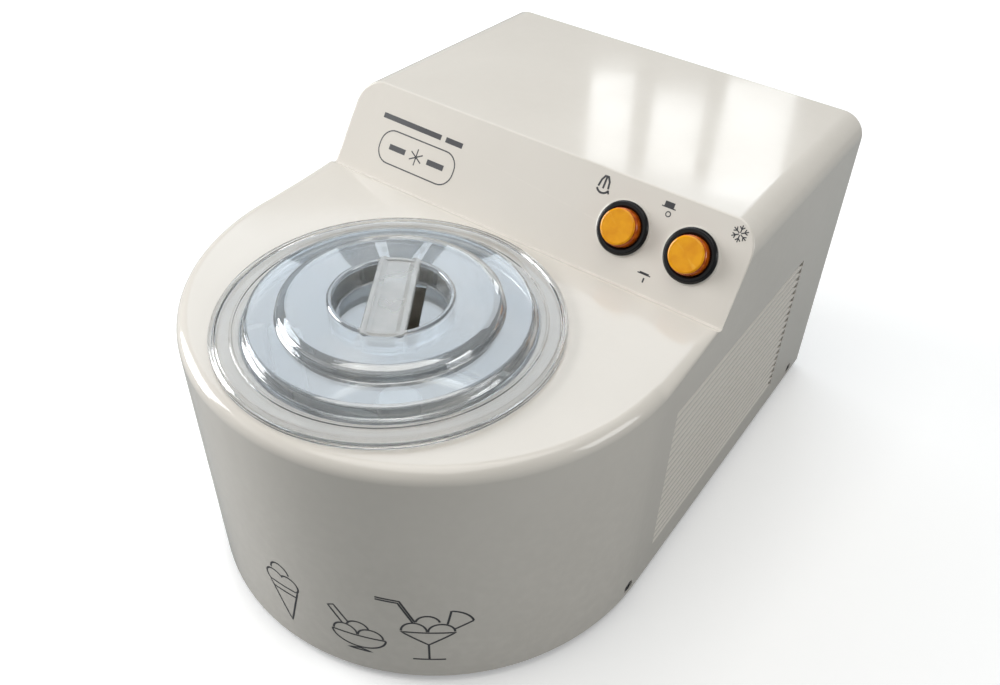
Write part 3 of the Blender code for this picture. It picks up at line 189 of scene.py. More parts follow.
def surface(name, colour, shade=None, edge=None, smooth=0.1, rough=0.2, scale=900.0, depth=0.02,
            stretched=(1, 1, 1), wear=0.4, drift=12.0, **shader_values):
    """A material: tone and wear feed the colour, grain feeds roughness and normal."""
    made = bpy.data.materials.new(name)
    made.use_nodes = True
    tree = made.node_tree
    shader = tree.nodes["Principled BSDF"]
    for label, value in shader_values.items():
        shader.inputs[label.replace("_", " ")].default_value = value
    tone = tree.nodes.new("ShaderNodeGroup")
    tone.node_tree = TONE
    tone.inputs["Colour"].default_value = (*colour, 1)
    tone.inputs["Shade"].default_value = (*(shade or [c * 0.93 for c in colour]), 1)
    tone.inputs["Edge"].default_value = (*(edge or [min(1, c * 1.12 + 0.02) for c in colour]), 1)
    tone.inputs["Scale"].default_value = drift
    tone.inputs["Wear"].default_value = wear
    grain = tree.nodes.new("ShaderNodeGroup")
    grain.node_tree = GRAIN
    for label, value in (("Scale", scale), ("Depth", depth), ("Stretch", stretched), ("Smooth", smooth),
                         ("Rough", rough)):
        grain.inputs[label].default_value = value
    tree.links.new(tone.outputs["Colour"], shader.inputs["Base Color"])
    tree.links.new(grain.outputs["Roughness"], shader.inputs["Roughness"])
    tree.links.new(grain.outputs["Normal"], shader.inputs["Normal"])
    return made


FINISHES = {
    "housing_plastic": surface("warm_white_gloss", (0.745, 0.705, 0.645), (0.72, 0.68, 0.62), smooth=0.07,
                               rough=0.13, scale=260.0, depth=0.012, Coat_Weight=0.1, Coat_Roughness=0.03),
    "clear_plastic": surface("clear_moulding", (0.93, 0.97, 1.0), (0.84, 0.91, 0.97), smooth=0.0, rough=0.06,
                             scale=70.0, depth=0.03, wear=0.0, drift=22.0, Transmission_Weight=0.84,
                             IOR=1.5, Coat_Weight=1.0, Coat_IOR=1.9, Coat_Roughness=0.02),
    "polished_steel": surface("bright_steel", (0.74, 0.7, 0.65), (0.64, 0.6, 0.55), smooth=0.1, rough=0.24,
                              stretched=(1, 1, 14), scale=200.0, depth=0.02, Metallic=1.0),
    "sheet_steel": surface("zinc_sheet", (0.52, 0.53, 0.55), (0.44, 0.45, 0.47), smooth=0.3, rough=0.5,
                           scale=400.0, depth=0.1, drift=60.0, Metallic=1.0),
    "shaft_steel": surface("ground_steel", (0.6, 0.6, 0.61), smooth=0.18, rough=0.3, stretched=(1, 1, 20),
                           scale=500.0, depth=0.06, Metallic=1.0),
    "black_steel": surface("black_enamel", (0.018, 0.018, 0.02), edge=(0.2, 0.2, 0.2), smooth=0.2, rough=0.35,
                           scale=600.0, depth=0.05),
    "bronze": surface("sintered_bronze", (0.5, 0.34, 0.17), smooth=0.35, rough=0.5, scale=1500.0, depth=0.1,
                      Metallic=1.0),
    "brass": surface("plain_brass", (0.75, 0.58, 0.28), smooth=0.2, rough=0.3, Metallic=1.0),
    "copper": surface("soft_copper", (0.72, 0.36, 0.22), (0.55, 0.27, 0.17), smooth=0.22, rough=0.4,
                      scale=700.0, depth=0.05, drift=50.0, Metallic=1.0),
    "aluminium": surface("mill_aluminium", (0.7, 0.71, 0.72), smooth=0.3, rough=0.45, stretched=(20, 1, 1),
                         scale=300.0, depth=0.08, Metallic=1.0),
    "foam": surface("rigid_foam", (0.72, 0.62, 0.4), (0.6, 0.5, 0.3), smooth=0.8, rough=0.95, scale=500.0,
                    depth=0.5),
    "white_nylon": surface("white_nylon", (0.8, 0.8, 0.77), smooth=0.35, rough=0.5, scale=700.0, depth=0.05),
    "grey_plastic": surface("grey_moulding", (0.2, 0.21, 0.22), smooth=0.4, rough=0.55, scale=900.0, depth=0.12),
    "black_plastic": surface("black_gloss", (0.008, 0.008, 0.009), edge=(0.05, 0.05, 0.05), smooth=0.15,
                             rough=0.28, scale=500.0, depth=0.02, Specular_IOR_Level=0.3),
    "amber_plastic": surface("amber_cap", (0.84, 0.37, 0.006), (0.75, 0.29, 0.004), (0.98, 0.6, 0.08),
                             smooth=0.08, rough=0.18, scale=300.0, depth=0.04, drift=160.0,
                             Specular_IOR_Level=0.3),
    "rubber": surface("black_rubber", (0.03, 0.03, 0.03), smooth=0.7, rough=0.85, scale=900.0, depth=0.15),
}
# Painted shade: a darker copy of the amber, given to the sides and base of each button's cap
AMBER_SHADED_SIDES = surface("amber_painted_side_shade", (0.62, 0.14, 0.008), (0.34, 0.05, 0.004), (0.9, 0.36, 0.04), smooth=0.12,
                     rough=0.22, drift=300.0)
FROSTED_BAR = surface("frosted_bar", (0.97, 0.97, 0.95), (0.86, 0.87, 0.86), smooth=0.06, rough=0.3, scale=160.0,
                      depth=0.12, wear=0.0, drift=90.0, Transmission_Weight=0.7, IOR=1.48, Coat_Weight=0.8,
                      Coat_Roughness=0.05)
CLEAR_RIM = surface("clear_rim", (0.985, 0.985, 0.98), (0.95, 0.955, 0.955), smooth=0.0, rough=0.06, scale=70.0,
                    depth=0.03, wear=0.0, Transmission_Weight=0.97, IOR=1.48, Coat_Weight=0.4, Coat_Roughness=0.02)
INK = surface("dark_grey_ink", (0.035, 0.035, 0.04), (0.05, 0.05, 0.055), smooth=0.35, rough=0.5, scale=1500.0,
              depth=0.05, wear=0.0)


# ---------------------------------------------------------------- making meshes
def link_mesh(name, bm, material=None):
    mesh = bpy.data.meshes.new(name)
    bm.to_mesh(mesh)
    bm.free()
    made = bpy.data.objects.new(name, mesh)
    bpy.context.scene.collection.objects.link(made)
    if material:
        mesh.materials.append(material)
    return made


def prism(name, outline, low, high, axis="Z"):
    """A straight solid from a closed outline; axis is the way it runs."""
    bm = bmesh.new()
    floor, roof = ([bm.verts.new((u, v, end) if axis == "Z" else (end, u, v)) for u, v in outline]
                   for end in (low, high))
    bm.faces.new(floor[::-1])
    bm.faces.new(roof)
    for i in range(len(outline)):
        j = (i + 1) % len(outline)
        bm.faces.new((floor[i], floor[j], roof[j], roof[i]))
    bmesh.ops.recalc_face_normals(bm, faces=bm.faces)
    return link_mesh(name, bm)


def soften(points, closed=False):
    """Rounds the corners of (u, v, radius) points, giving plain (u, v) points."""
    route = []
    count = len(points)
    for i, (u, v, radius) in enumerate(points):
        corner = Vector((u, v))
        if radius <= 0 or (not closed and i in (0, count - 1)):
            route.append((u, v))
            continue
        before = Vector(points[i - 1][:2]) - corner
        after = Vector(points[(i + 1) % count][:2]) - corner
        half = before.angle(after) / 2
        reach = min(radius / tan(half), before.length / 2.05, after.length / 2.05)
        radius = reach * tan(half)
        start = corner + before.normalized() * reach
        middle = corner + (before.normalized() + after.normalized()).normalized() * (radius / sin(half))
        first = start - middle
        last = corner + after.normalized() * reach - middle
        turn = first.angle_signed(last)
        steps = max(2, int(abs(turn) / radians(12)))
        for k in range(steps + 1):
            a = -turn * k / steps
            route.append((middle.x + first.x * cos(a) - first.y * sin(a),
                          middle.y + first.x * sin(a) + first.y * cos(a)))
    return route


def revolve(name, profile, steps=96, axis=None, material=None, scale=MM):
    """Turns (radius, height) points, in millimetres, about Z and then places the solid."""
    bm = bmesh.new()
    rings = []
    for radius, height in profile:
        if radius < 1e-6:
            rings.append([bm.verts.new((0, 0, height * scale))])
            continue
        ring = []
        for i in range(steps):
            a = 2 * pi * i / steps
            ring.append(bm.verts.new((radius * scale * cos(a), radius * scale * sin(a), height * scale)))
        rings.append(ring)
    pairs = list(zip(rings, rings[1:]))
    if len(rings[0]) > 1 or len(rings[-1]) > 1:
        pairs.append((rings[-1], rings[0]))
    for first, second in pairs:
        for i in range(steps):
            j = (i + 1) % steps
            corners = [first[i % len(first)], second[i % len(second)],
                       second[j % len(second)], first[j % len(first)]]
            corners = list(dict.fromkeys(corners))
            if len(corners) > 2:
                bm.faces.new(corners)
    bmesh.ops.recalc_face_normals(bm, faces=bm.faces)
    made = link_mesh(name, bm, material)
    if axis is not None:
        made.data.transform(axis)
    return made


def combine(target, tool, operation="DIFFERENCE"):
    """Cuts or joins two closed meshes for good and removes the tool."""
    step = target.modifiers.new("combine", "BOOLEAN")
    step.operation = operation
    step.solver = "EXACT"
    step.object = tool
    bpy.context.view_layer.update()
    mesh = bpy.data.meshes.new_from_object(target.evaluated_get(bpy.context.evaluated_depsgraph_get()))
    target.modifiers.clear()
    target.data = mesh
    bpy.data.objects.remove(tool, do_unlink=True)
    return target


def round_edges(thing, chosen, radius, segments):
    bm = bmesh.new()
    bm.from_mesh(thing.data)
    bmesh.ops.dissolve_limit(bm, angle_limit=radians(0.3), verts=bm.verts, edges=bm.edges)
    picked = [edge for edge in bm.edges if len(edge.link_faces) == 2 and chosen(edge)]
    bmesh.ops.bevel(bm, geom=picked, offset=radius, offset_type="OFFSET", segments=segments, profile=0.5,
                    affect="EDGES")
    bm.to_mesh(thing.data)
    bm.free()


def shade(thing, sharp=35, weighted=True):
    thing.data.shade_smooth()
    thing.data.set_sharp_from_angle(angle=radians(sharp))
    if weighted:
        even = thing.modifiers.new("even_normals", "WEIGHTED_NORMAL")
        even.keep_sharp = True
        even.weight = 80
    return thing


def keep(thing, body, slot, *nodes):
    """Rides a finished piece on its body, in its finish's slot, in place of CAD nodes."""
    if not thing.data.materials:
        thing.data.materials.append(FINISHES[slot])
    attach(thing, body)
    if nodes:
        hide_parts(*nodes)
    return thing


# ---------------------------------------------------------------- housing
def housing_outline(inset, steps):
    radius = HALF_WIDTH - inset
    angles = [pi + pi * i / steps for i in range(steps + 1)]
    front = [(radius * cos(a), ARC_Y + radius * sin(a)) for a in angles]
    return front + [(radius, REAR_Y - inset), (-radius, REAR_Y - inset)]


def at_height(edge, height):
    return all(abs(vert.co.z - height) < 1e-5 for vert in edge.verts)


def bounds_face(edge, direction, least=0.999):
    """Whether just one of an edge's faces looks in a direction."""
    return sum(face.normal.dot(direction) > least for face in edge.link_faces) == 1


def housing_form(name, inset, low_z, steps, segments):
    """The housing's outside, or with an inset the room inside its walls."""
    form = prism(name, housing_outline(inset, steps), low_z, TOP_Z - inset)
    deck = DECK_Z - inset
    depth, flat, slope = GROOVE
    valley = deck - depth
    shift = inset / cos(LEAN)
    foot_y = PANEL_Y + (valley - DECK_Z) * tan(LEAN) + shift
    above = TOP_Z + 10 * MM
    above_y = PANEL_Y + (above - DECK_Z) * tan(LEAN) + shift
    ahead = FRONT_Y - 10 * MM
    side_view = soften([(ahead, deck, 0), (foot_y - flat - slope, deck, 2.0 * MM),
                        (foot_y - flat, valley, 1.2 * MM), (foot_y, valley, 0.8 * MM),
                        (above_y, above, 0), (ahead, above, 0)])
    combine(form, prism("deck_space", side_view, -0.3, 0.3, axis="X"))

    def round_deck(edge):
        return at_height(edge, deck) and any(abs(face.normal.z) < 0.01 for face in edge.link_faces)

    def round_top(edge):
        return at_height(edge, TOP_Z - inset) and any(abs(face.normal.x) > 0.99 for face in edge.link_faces)

    def round_back(edge):
        return bounds_face(edge, Vector((0, 1, 0))) and sum(vert.co.z for vert in edge.verts) > 30 * MM

    def round_panel(edge):
        panel = Vector((0, -cos(LEAN), sin(LEAN)))
        return bounds_face(edge, panel) and max(vert.co.z for vert in edge.verts) > DECK_Z + 2 * MM

    round_edges(form, round_deck, max(DECK_RADIUS - inset, MM), segments)
    round_edges(form, round_top, max(TOP_RADIUS - inset, MM), segments + 2)
    if inset == 0:
        round_edges(form, round_back, REAR_RADIUS, 5)
        round_edges(form, round_panel, PANEL_RADIUS, 3)
    return form


def side_reach(y):
    return sqrt(HALF_WIDTH ** 2 - min(y - ARC_Y, 0) ** 2)


def louvre_cutter(name, ends_of):
    """One cutter for every louvre; ends_of gives the two end outlines of one at a side and height."""
    bm = bmesh.new()
    for side in (-1, 1):
        for i in range(LOUVRES["count"]):
            first, last = ([bm.verts.new(point) for point in end]
                           for end in ends_of(side, LOUVRES["low"] + i * LOUVRES["pitch"]))
            bm.faces.new(first)
            bm.faces.new(last[::-1])
            for k in range(len(first)):
                m = (k + 1) % len(first)
                bm.faces.new((first[m], first[k], last[k], last[m]))
    bmesh.ops.recalc_face_normals(bm, faces=bm.faces)
    return link_mesh(name, bm)


def groove_ends(side, z):
    """A long shallow groove with a slanted floor, deeper towards the rear."""
    face = side * HALF_WIDTH
    out = face + side * 0.5 * MM
    ends = []
    for y, depth in zip((LOUVRES["front"], LOUVRES["rear"] - 1 * MM), GROOVE_DEPTHS):
        ends.append([(out, y, z + 4.4 * MM), (face, y, z + 4.2 * MM), (face - side * depth, y, z + 2.3 * MM),
                     (face, y, z + 0.2 * MM), (out, y, z + 0.1 * MM)])
    return ends


def mouth_ends(side, z):
    """The dark mouth through the wall at a groove's rear end."""
    rear = LOUVRES["rear"]
    plan = [(rear, z - 0.4 * MM), (rear, z + 3.6 * MM),
            (rear - 8 * MM, z + 3.4 * MM), (rear - 5 * MM, z + 1.4 * MM)]
    return [[(side * x, y, height) for y, height in plan] for x in (HALF_WIDTH - 6 * MM, HALF_WIDTH + 2 * MM)]


def along_panel(x):
    """Placing matrix for a turned piece whose axis stands on the panel."""
    return Matrix.Translation(panel_point(x, SWITCH_RISE)) @ Matrix.Rotation(pi / 2 - LEAN, 4, "X")


def block_between(name, low, high, edge_radius=0.0):
    """A rectangular block between two corners, with its edges rounded if asked."""
    bm = bmesh.new()
    bmesh.ops.create_cube(bm, size=1.0)
    bmesh.ops.scale(bm, vec=high - low, verts=bm.verts)
    if edge_radius:
        bmesh.ops.bevel(bm, geom=bm.edges[:], offset=edge_radius, segments=2, profile=0.5, affect="EDGES")
    bmesh.ops.translate(bm, vec=(low + high) / 2, verts=bm.verts)
    return link_mesh(name, bm)


def make_housing():
    shell = housing_form("housing", 0.0, SHELL_Z, 96, 8)
    combine(shell, housing_form("room", WALL, SHELL_Z - 10 * MM, 48, 2))
    bore = HOLE_RADIUS / MM
    hole = [(0, 170), (bore + 2, 170), (bore + 0.8, 160.05), (bore, 159.2), (bore, 140), (0, 140)]
    combine(shell, revolve("deck_hole", hole, 128, Matrix.Translation((0, BOWL_Y, 0))))
    for x in SWITCH_X.values():
        rim = [(13.6, -1, 0), (13.6, 0.6, 0.2), (15.3, 0.6, 0.2), (15.7, 0.45, 0.15), (15.9, -1, 0)]
        combine(shell, revolve("switch_rim", soften(rim), 72, along_panel(x)), "UNION")
        combine(shell, revolve("switch_hole", [(0, 20), (13.5, 20), (13.5, -20), (0, -20)], 72, along_panel(x)))
    combine(shell, louvre_cutter("louvre_grooves", groove_ends))
    combine(shell, louvre_cutter("louvre_mouths", mouth_ends))
    for side in (-1, 1):
        for y in SCREW_YS:
            face = side_reach(y) / MM
            turn = Matrix.Translation((0, y, SCREW_Z)) @ Matrix.Rotation(side * pi / 2, 4, "Y")
            seat = [(0, face + 1), (3.9, face + 1), (3.9, face - 2),
                    (1.7, face - 2), (1.7, face - 6), (0, face - 6)]
            combine(shell, revolve("screw_seat", seat, 32, turn))
    low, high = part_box("power_inlet")
    for inset_x, inset_z, depth in ((0, 0, 1.8 * MM), (9 * MM, 2 * MM, 12 * MM)):
        reach = Vector((INLET_GAP - inset_x, 0, INLET_GAP - inset_z))
        near = Vector((low.x, REAR_Y - depth, low.z)) - reach
        far = Vector((high.x, REAR_Y + 5 * MM, high.z)) + reach
        combine(shell, block_between("inlet_space", near, far))
    keep(shade(shell), "housing", "housing_plastic", "body_shell")


# ---------------------------------------------------------------- printed marks
def ink_strokes(name, strokes, to_surface, width):
    """Flat printed lines: each stroke is a list of (u, v) points in millimetres, on a surface."""
    bm = bmesh.new()
    for points in strokes:
        points = [Vector(p) for p in points]
        closed = (points[0] - points[-1]).length < 1e-6
        if closed:
            points = points[:-1]
        count = len(points)
        left, right = [], []
        for i, point in enumerate(points):
            before = points[i - 1] if i or closed else point
            after = points[(i + 1) % count] if i < count - 1 or closed else point
            along = ((point - before).normalized() if point != before else Vector((0, 0)))
            along += ((after - point).normalized() if after != point else Vector((0, 0)))
            along = along.normalized() if along.length > 1e-6 else (after - point).normalized()
            across = Vector((-along.y, along.x)) * width / 2
            left.append(bm.verts.new(to_surface(*(point + across))))
            right.append(bm.verts.new(to_surface(*(point - across))))
        for i in range(count if closed else count - 1):
            j = (i + 1) % count
            bm.faces.new((left[i], right[i], right[j], left[j]))
    return keep(link_mesh(name, bm, INK), "housing", "black_plastic")


def arc(cx, cy, rx, ry, start, end, steps=20):
    """Part of an ellipse, in degrees anticlockwise."""
    return [(cx + rx * cos(radians(start + (end - start) * i / steps)),
             cy + ry * sin(radians(start + (end - start) * i / steps))) for i in range(steps + 1)]


def split(points, step=2.0):
    """Straight runs cut into short pieces, so that they can follow a curved wall."""
    route = [Vector(points[0])]
    for end in points[1:]:
        start = route[-1].copy()
        run = Vector(end) - start
        parts = max(1, int(run.length / step))
        route += [start + run * k / parts for k in range(1, parts + 1)]
    return [tuple(p) for p in route]


def front_wall(u, v):
    """Millimetres along the round front from its middle, and up from the housing's lower edge."""
    radius = HALF_WIDTH + 0.04 * MM
    angle = u * MM / radius
    return (radius * sin(angle), ARC_Y - radius * cos(angle), SHELL_Z + v * MM)


def shifted(strokes, du, dv, turn=0.0):
    c, s = cos(radians(turn)), sin(radians(turn))
    return [[(du + u * c - v * s, dv + u * s + v * c) for u, v in stroke] for stroke in strokes]


def make_front_drawings():
    """A cone, a footed cup and a stemmed glass of ice cream, in plain line."""
    cone = [split([(-9.4, 28), (0, 0), (9.4, 28), (-9.4, 28)]), split([(-7.9, 23.4), (7.9, 23.4)]),
            arc(-4.6, 32, 6.2, 5.8, 30, 222), arc(4.8, 32, 5.8, 5.6, -42, 138), arc(0, 38.6, 6, 6.6, 5, 175)]
    cup = [arc(0, 12.5, 14.3, 9.8, 180, 360, 30), split([(-14.3, 12.5), (14.3, 12.5)]),
           arc(-7, 13.4, 6.4, 6.6, 0, 180), arc(6.4, 13.4, 6.6, 6.2, 0, 180), arc(0, 19, 5.8, 5.6, 8, 172),
           split([(-8, 20), (-15, 32), (-11.8, 33.8), (-5, 22.6)]), split([(0, 2.8), (0, 1.6)]),
           split([(-6.6, 0), (0, 1.8), (6.6, 0), (-6.6, 0)])]
    glass = [split([(-13.6, 23.6), (0, 13.2), (13.6, 23.6), (-13.6, 23.6)]), split([(0, 13.2), (0, 0)]),
             split([(-8.3, 0), (8.3, 0)]), arc(-7, 24.4, 6.4, 7.2, 0, 180), arc(6.6, 24.4, 6.6, 6.6, 0, 180),
             arc(0, 31.4, 6, 6.4, 12, 168), split([(-7.4, 32), (-14, 47.2), (-25, 48.2)]),
             split([(-6.2, 32.4), (-13.2, 48.8), (-25, 49.9)]), split([(9.6, 31), (11.6, 42)]),
             arc(9.6, 30, 13, 12, 12, 80), split([(13, 26.6), (22.3, 32.5)])]
    strokes = shifted(cone, 5.4, 15.6, 4) + shifted(cup, 46.3, 15.9) + shifted(glass, 82.2, 15.6)
    ink_strokes("front_drawings", strokes, front_wall, 1.15)


def panel_face(u, v):
    return panel_point(u * MM, v * MM, 0.05 * MM)


def make_panel_marks():
    """Pictures for the paddle, the cold, the raised and pressed button, and a plain plate mark."""
    paddle = [[(-2.9, -1.7), (-2.2, 2.2), (-0.5, 5.1)], [(0.2, -2.2), (0.3, 5.3)],
              [(3.3, -1.7), (2.7, 2.2), (1.0, 5.1)], arc(0.2, -1.0, 3.9, 3.7, 205, 335, 10),
              [(2.7, -3.7), (3.9, -2.6), (4.4, -4.2)]]
    flake = []
    for i in range(6):
        a = radians(60 * i + 30)
        along = Vector((cos(a), sin(a)))
        across = Vector((-along.y, along.x))
        flake.append([tuple(along * 0.6), tuple(along * 4.6)])
        for side in (-1, 1):
            flake.append([tuple(along * 2.4), tuple(along * 3.7 + across * 1.4 * side)])
    raised = [[(-4.1, -1.6), (4.1, -1.6)], arc(1.0, -4.9, 1.35, 1.35, 0, 360, 16)]
    pressed = [[(-3.9, -0.4), (3.9, -0.4)]]
    fine = shifted(flake, 124.4, 46.7) + shifted(raised, 83.5, 47.6) + shifted(pressed, 84.4, 9.0)
    ink_strokes("panel_pictures", fine, panel_face, 0.6)
    ink_strokes("paddle_picture", shifted(paddle, 43.8, 45.0), panel_face, 1.15)
    ink_strokes("raised_block", shifted([[(-2.8, 0.1), (2.8, 0.1)]], 83.5, 47.6), panel_face, 2.8)
    ink_strokes("pressed_block", shifted([[(-2.8, 0.1), (2.8, 0.1)], [(0.8, -2.2), (0.8, -4.8)]], 84.4, 9.0),
                panel_face, 0.95)
    frame_line = soften([(-107, 9.2, 9), (-50, 9.2, 9), (-50, 29.4, 9), (-107, 29.4, 9)], closed=True)
    cold = [[(-78.5, 14.2), (-78.5, 24.4)], [(-82.9, 16.8), (-74.1, 21.8)], [(-82.9, 21.8), (-74.1, 16.8)]]
    ink_strokes("plate_outline", [frame_line + frame_line[:1]] + cold, panel_face, 0.8)
    bars = [[(-99.5, 19.3), (-87, 19.3)], [(-70, 19.3), (-57.5, 19.3)]]
    ink_strokes("plate_bars", bars, panel_face, 3.4)
    ink_strokes("plate_title", [[(-111, 36.2), (-66, 35.8)], [(-62.5, 35.8), (-50, 35.7)]], panel_face, 3.2)


# ---------------------------------------------------------------- lid and bowl
def make_lid():
    """Clear lid in one moulding: rim, flange, two rising steps, a well, and the bar across the well."""
    top = [(0, 4.0, 0), (28.5, 4.0, 1.2), (28.5, 15.6, 0.6), (28.9, 16.3, 0.5), (30.3, 16.3, 0.6), (31.0, 15.5, 1),
           (50.4, 15.5, 2.2), (53.6, 14.6, 1.6), (55.3, 12.8, 1.2), (55.4, 9.0, 1.2), (68.8, 9.0, 1.2),
           (70.3, 8.4, 0.8), (71.9, 3.0, 1.2), (76.2, 3.0, 0.3), (76.6, 3.4, 0.3), (77.4, 3.4, 0.3),
           (77.8, 3.0, 0.3), (83.6, 3.0, 0.5), (84.4, 3.9, 0.5), (86.6, 3.9, 0.8), (87.4, 3.0, 0.6),
           (87.4, 0.3, 0.2)]
    under = [(85.6, 0.3, 0.2), (85.2, 0.8, 0.2), (72.6, 0.8, 0.3), (72.4, -1.7, 0.3), (70.6, -1.7, 0.3),
             (69.0, 6.9, 0.8), (53.5, 6.8, 0.8), (53.2, 11.6, 0.8), (49.9, 13.3, 1.4), (30.8, 13.3, 0.8),
             (30.7, 1.8, 1.2), (0, 1.8, 0)]
    lid = revolve("lid_moulding", soften(top + under), 144)
    plan = soften([(x * 14, y * 25, 2) for x, y in ((-1, -1), (1, -1), (1, 1), (-1, 1))], closed=True)
    slot = prism("slot", [(x * MM, y * MM) for x, y in plan], -5 * MM, 8 * MM)
    combine(lid, slot)
    section = soften([(-10.4, 10, 1.2), (10.4, 10, 1.2), (10.7, 16.4, 1.0), (8.2, 16.4, 1.4), (5.5, 15.4, 3),
                      (-5.5, 15.4, 3), (-8.2, 16.4, 1.4), (-10.7, 16.4, 1.0)], closed=True)
    bar = prism("bar", [(v * MM, u * MM) for u, v in section], -31 * MM, 31 * MM)
    bar.data.transform(Matrix(((0, 1, 0, 0), (0, 0, 1, 0), (1, 0, 0, 0), (0, 0, 0, 1))))
    ends = soften([(-11, -31, 4), (11, -31, 4), (11, 31, 4), (-11, 31, 4)], closed=True)
    combine(bar, prism("bar_plan", [(u * MM, v * MM) for u, v in ends], 0, 30 * MM), "INTERSECT")
    combine(lid, bar, "UNION")
    lid.data.materials.clear()
    for finish in (FINISHES["clear_plastic"], CLEAR_RIM, FROSTED_BAR):
        lid.data.materials.append(finish)
    for face in lid.data.polygons:
        reach = face.center.xy.length
        in_bar = abs(face.center.x) < HANDLE_HALF[0] and reach < HANDLE_HALF[1] and face.center.z > 9.5 * MM
        face.material_index = 2 if in_bar else int(reach > RIM_REACH)
    lid.data.transform(Matrix.Translation((0, BOWL_Y, DECK_Z)) @ Matrix.Rotation(HANDLE_TURN, 4, "Z"))
    keep(shade(lid, 40, weighted=False), "lid", "clear_plastic", "lid", "lid_handle")


def make_bowl():
    low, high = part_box("bowl")
    floor, rim = low.z / MM + 1, high.z / MM
    sleeve = floor + 34
    profile = soften([(8, sleeve, 0), (8, floor, 1.5), (72, floor, 11), (72, rim, 1.2), (80, rim, 0.3),
                      (80, rim - 1, 0.3), (73, rim - 1, 0.6), (73, floor - 1, 12), (7, floor - 1, 1),
                      (7, sleeve, 0)])
    bowl = revolve("bowl_pressing", profile, 128, Matrix.Translation((0, BOWL_Y, 0)))
    keep(shade(bowl, 40, weighted=False), "housing", "polished_steel", "bowl")


# ---------------------------------------------------------------- switches
def make_switch(name, x):
    place = along_panel(x)
    body = [(0, -11, 0), (11.05, -11, 0), (11.05, 1.6, 0.3), (12.0, 2.5, 0.5), (13.8, 2.5, 0.8), (14.95, 1.4, 0.8),
            (14.95, 0.7, 0.1), (13.2, 0.7, 0), (13.2, -14, 0.5), (0, -14, 0)]
    ring = revolve(name + "_switch_body", soften(body), 72, place)
    half = Vector((13, 10.4, 9)) * MM
    middle = Vector((0, 0, -21 * MM))
    block = block_between(name + "_switch_block", middle - half, middle + half, 0.8 * MM)
    block.data.transform(place)
    combine(ring, block, "UNION")
    keep(shade(ring), "housing", "black_plastic", name + "_switch")
    cap = [(0, 8.3, 0), (8.3, 8.45, 0.4), (9.0, 8.5, 0.2), (9.9, 8.1, 0.5), (10.0, 6.4, 0.3), (10.5, 5.9, 0.3),
           (10.8, 2.0, 0.3), (10.8, -6, 0), (0, -6, 0)]
    button = revolve(name + "_cap", soften(cap), 72, place)
    button.data.materials.append(FINISHES["amber_plastic"])
    button.data.materials.append(AMBER_SHADED_SIDES)
    axis = place.to_3x3() @ Vector((0, 0, 1))
    base = place.to_translation()
    # faces below CAP_FACE take the darker amber: painted shade on the cap's sides
    for face in button.data.polygons:
        face.material_index = int((face.center - base).dot(axis) < CAP_FACE)
    keep(shade(button), name + "_button", "amber_plastic", name + "_button")


# ---------------------------------------------------------------- pieces kept from the frame
def finish_frame_nodes():
    """Each carried-over part takes the finish of its own slot."""
    slots = {part["node"]: part["material_slot"] for part in frame["record"]["subparts"]}
    for name, node in frame["nodes"].items():
        node.data.materials.clear()
        node.data.materials.append(FINISHES[slots[name]])
        node.data.shade_smooth()
        node.data.set_sharp_from_angle(angle=radians(35))


# ---------------------------------------------------------------- floor, light and camera
def plain_colour(tree, colour):
    source = add_node(tree, "ShaderNodeRGB").outputs[0]
    source.default_value = (*colour, 1)
    return source


def make_floor():
    """A plain floor that looks near white and throws back only a soft grey light."""
    bm = bmesh.new()
    bmesh.ops.create_grid(bm, x_segments=1, y_segments=1, size=12.0)
    finish = bpy.data.materials.new("pale_floor")
    finish.use_nodes = True
    tree = finish.node_tree
    shader = tree.nodes["Principled BSDF"]
    shader.inputs["Roughness"].default_value = 0.8
    shader.inputs["Specular IOR Level"].default_value = 0.1
    eye = add_node(tree, "ShaderNodeLightPath").outputs["Is Camera Ray"]
    thrown, seen, unlit, near, far = (plain_colour(tree, colour) for colour in (
        (0.33, 0.34, 0.34), (0.97, 0.97, 0.97), (0.0, 0.0, 0.0), (0.2, 0.2, 0.2), (0.9, 0.9, 0.9)))
    tree.links.new(mix_colour(tree, eye, thrown, seen), shader.inputs["Base Color"])
    away = add_node(tree, "ShaderNodeVectorMath", operation="LENGTH")
    tree.links.new(add_node(tree, "ShaderNodeTexCoord").outputs["Object"], away.inputs[0])
    lifted = mix_colour(tree, stretch(tree, away.outputs["Value"], 0.9, 2.6), near, far)
    tree.links.new(mix_colour(tree, eye, unlit, lifted), shader.inputs["Emission Color"])
    shader.inputs["Emission Strength"].default_value = 1.0
    link_mesh("floor", bm, finish)


def make_room():
    """Plain white behind everything, with a dimmer light from all round."""
    world = bpy.data.worlds.new("pale_room")
    bpy.context.scene.world = world
    world.use_nodes = True
    sky = world.node_tree
    dim = sky.nodes["Background"]
    dim.inputs["Color"].default_value = (0.93, 0.98, 1.0, 1)
    dim.inputs["Strength"].default_value = 0.26
    bright = add_node(sky, "ShaderNodeBackground", Color=(1, 1, 1, 1), Strength=1.0)
    chosen = add_node(sky, "ShaderNodeMixShader")
    sky.links.new(add_node(sky, "ShaderNodeLightPath").outputs["Is Camera Ray"], chosen.inputs[0])
    sky.links.new(dim.outputs[0], chosen.inputs[1])
    sky.links.new(bright.outputs[0], chosen.inputs[2])
    sky.links.new(chosen.outputs[0], sky.nodes["World Output"].inputs["Surface"])
    bpy.context.scene.view_settings.view_transform = "Standard"


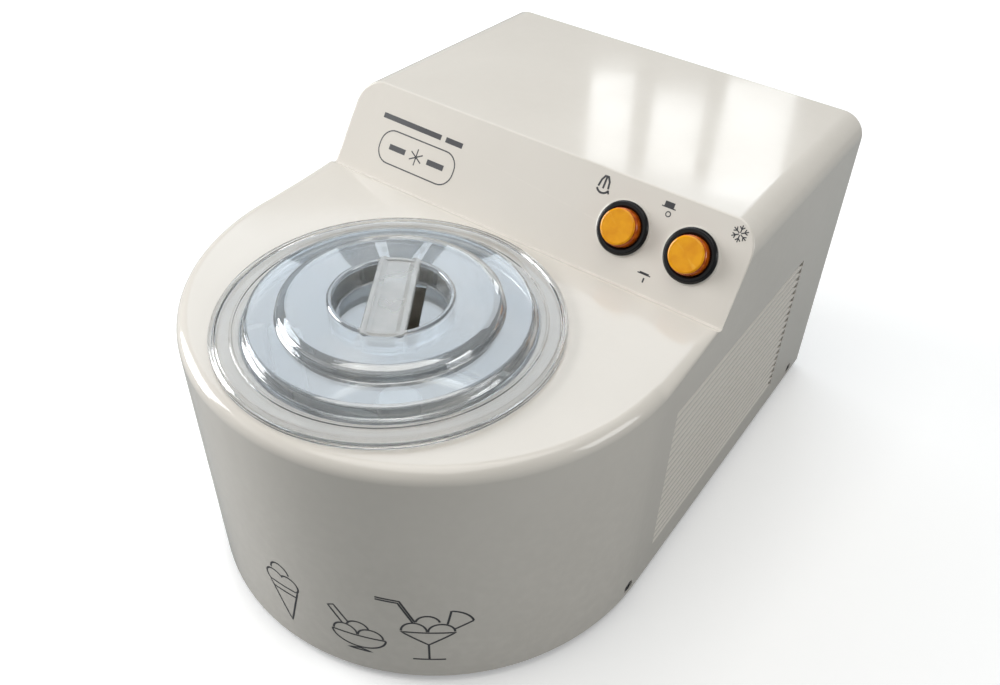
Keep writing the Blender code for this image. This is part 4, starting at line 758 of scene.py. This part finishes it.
def add_softbox(name, place, target, size, glow, colour=(1, 1, 1)):
    """A rectangular light whose face glows evenly."""
    light = bpy.data.lights.new(name, "AREA")
    light.shape = "RECTANGLE"
    light.size, light.size_y = size
    light.energy = glow * pi * size[0] * size[1]
    light.color = colour
    made = bpy.data.objects.new(name, light)
    bpy.context.scene.collection.objects.link(made)
    made.location = place
    made.rotation_euler = (Vector(target) - Vector(place)).to_track_quat("-Z", "Y").to_euler()
    return made


def make_lights():
    """The window that the lid mirrors, soft fills, and three panes mirrored in the housing's top."""
    add_softbox("lid_window", (-0.83, 0.96, 1.385), (0, -0.05, 0.17), (1.8, 0.72), 1.6, (0.84, 0.92, 1.0))
    add_softbox("overhead", (0.0, -0.2, 2.0), (0, 0, 0.1), (1.6, 1.6), 2.1, (1.0, 0.975, 0.935))
    add_softbox("left_fill", (-1.74, -0.7, 0.75), (0, 0, 0.1), (1.0, 1.1), 9.3, (0.985, 0.99, 1.0))
    add_softbox("right_fill", (1.9, 0.4, 0.9), (0, 0, 0.1), (0.9, 0.9), 4.0)
    add_softbox("panel_sheen", (-0.95, -1.55, 1.1), (0, 0.02, 0.18), (1.1, 0.65), 0.6, (1.0, 0.98, 0.96))
    for name, place, size in (("left_pane", (-1.36, 2.59, 1.66), (0.17, 0.4)),
                              ("middle_pane", (-1.12, 2.70, 1.68), (0.2, 0.34)),
                              ("right_pane", (-0.84, 2.82, 1.66), (0.27, 0.46))):
        add_softbox(name, place, (0.04, 0.1, 0.2), size, 2.8, (0.95, 0.98, 1.0))


def make_camera():
    sight = bpy.data.cameras.new("camera")
    sight.sensor_width = 36
    sight.lens = 33.01
    sight.shift_x = -0.0582
    sight.shift_y = -0.0393
    sight.clip_start = 0.01
    camera = bpy.data.objects.new("camera", sight)
    bpy.context.scene.collection.objects.link(camera)
    right = (0.82843577, 0.55702492, 0.05845868)
    up = (-0.38388481, 0.48871145, 0.78344979)
    back = (0.40783163, -0.67147922, 0.61869945)
    place = (0.25114, -0.35290, 0.45363)
    camera.matrix_world = Matrix([*zip(right, up, back, place), (0, 0, 0, 1)])
    bpy.context.scene.camera = camera


make_camera()
make_floor()
make_room()
make_lights()
finish_frame_nodes()
make_housing()
make_front_drawings()
make_panel_marks()
make_lid()
make_bowl()
for switch_name, switch_x in SWITCH_X.items():
    make_switch(switch_name, switch_x)
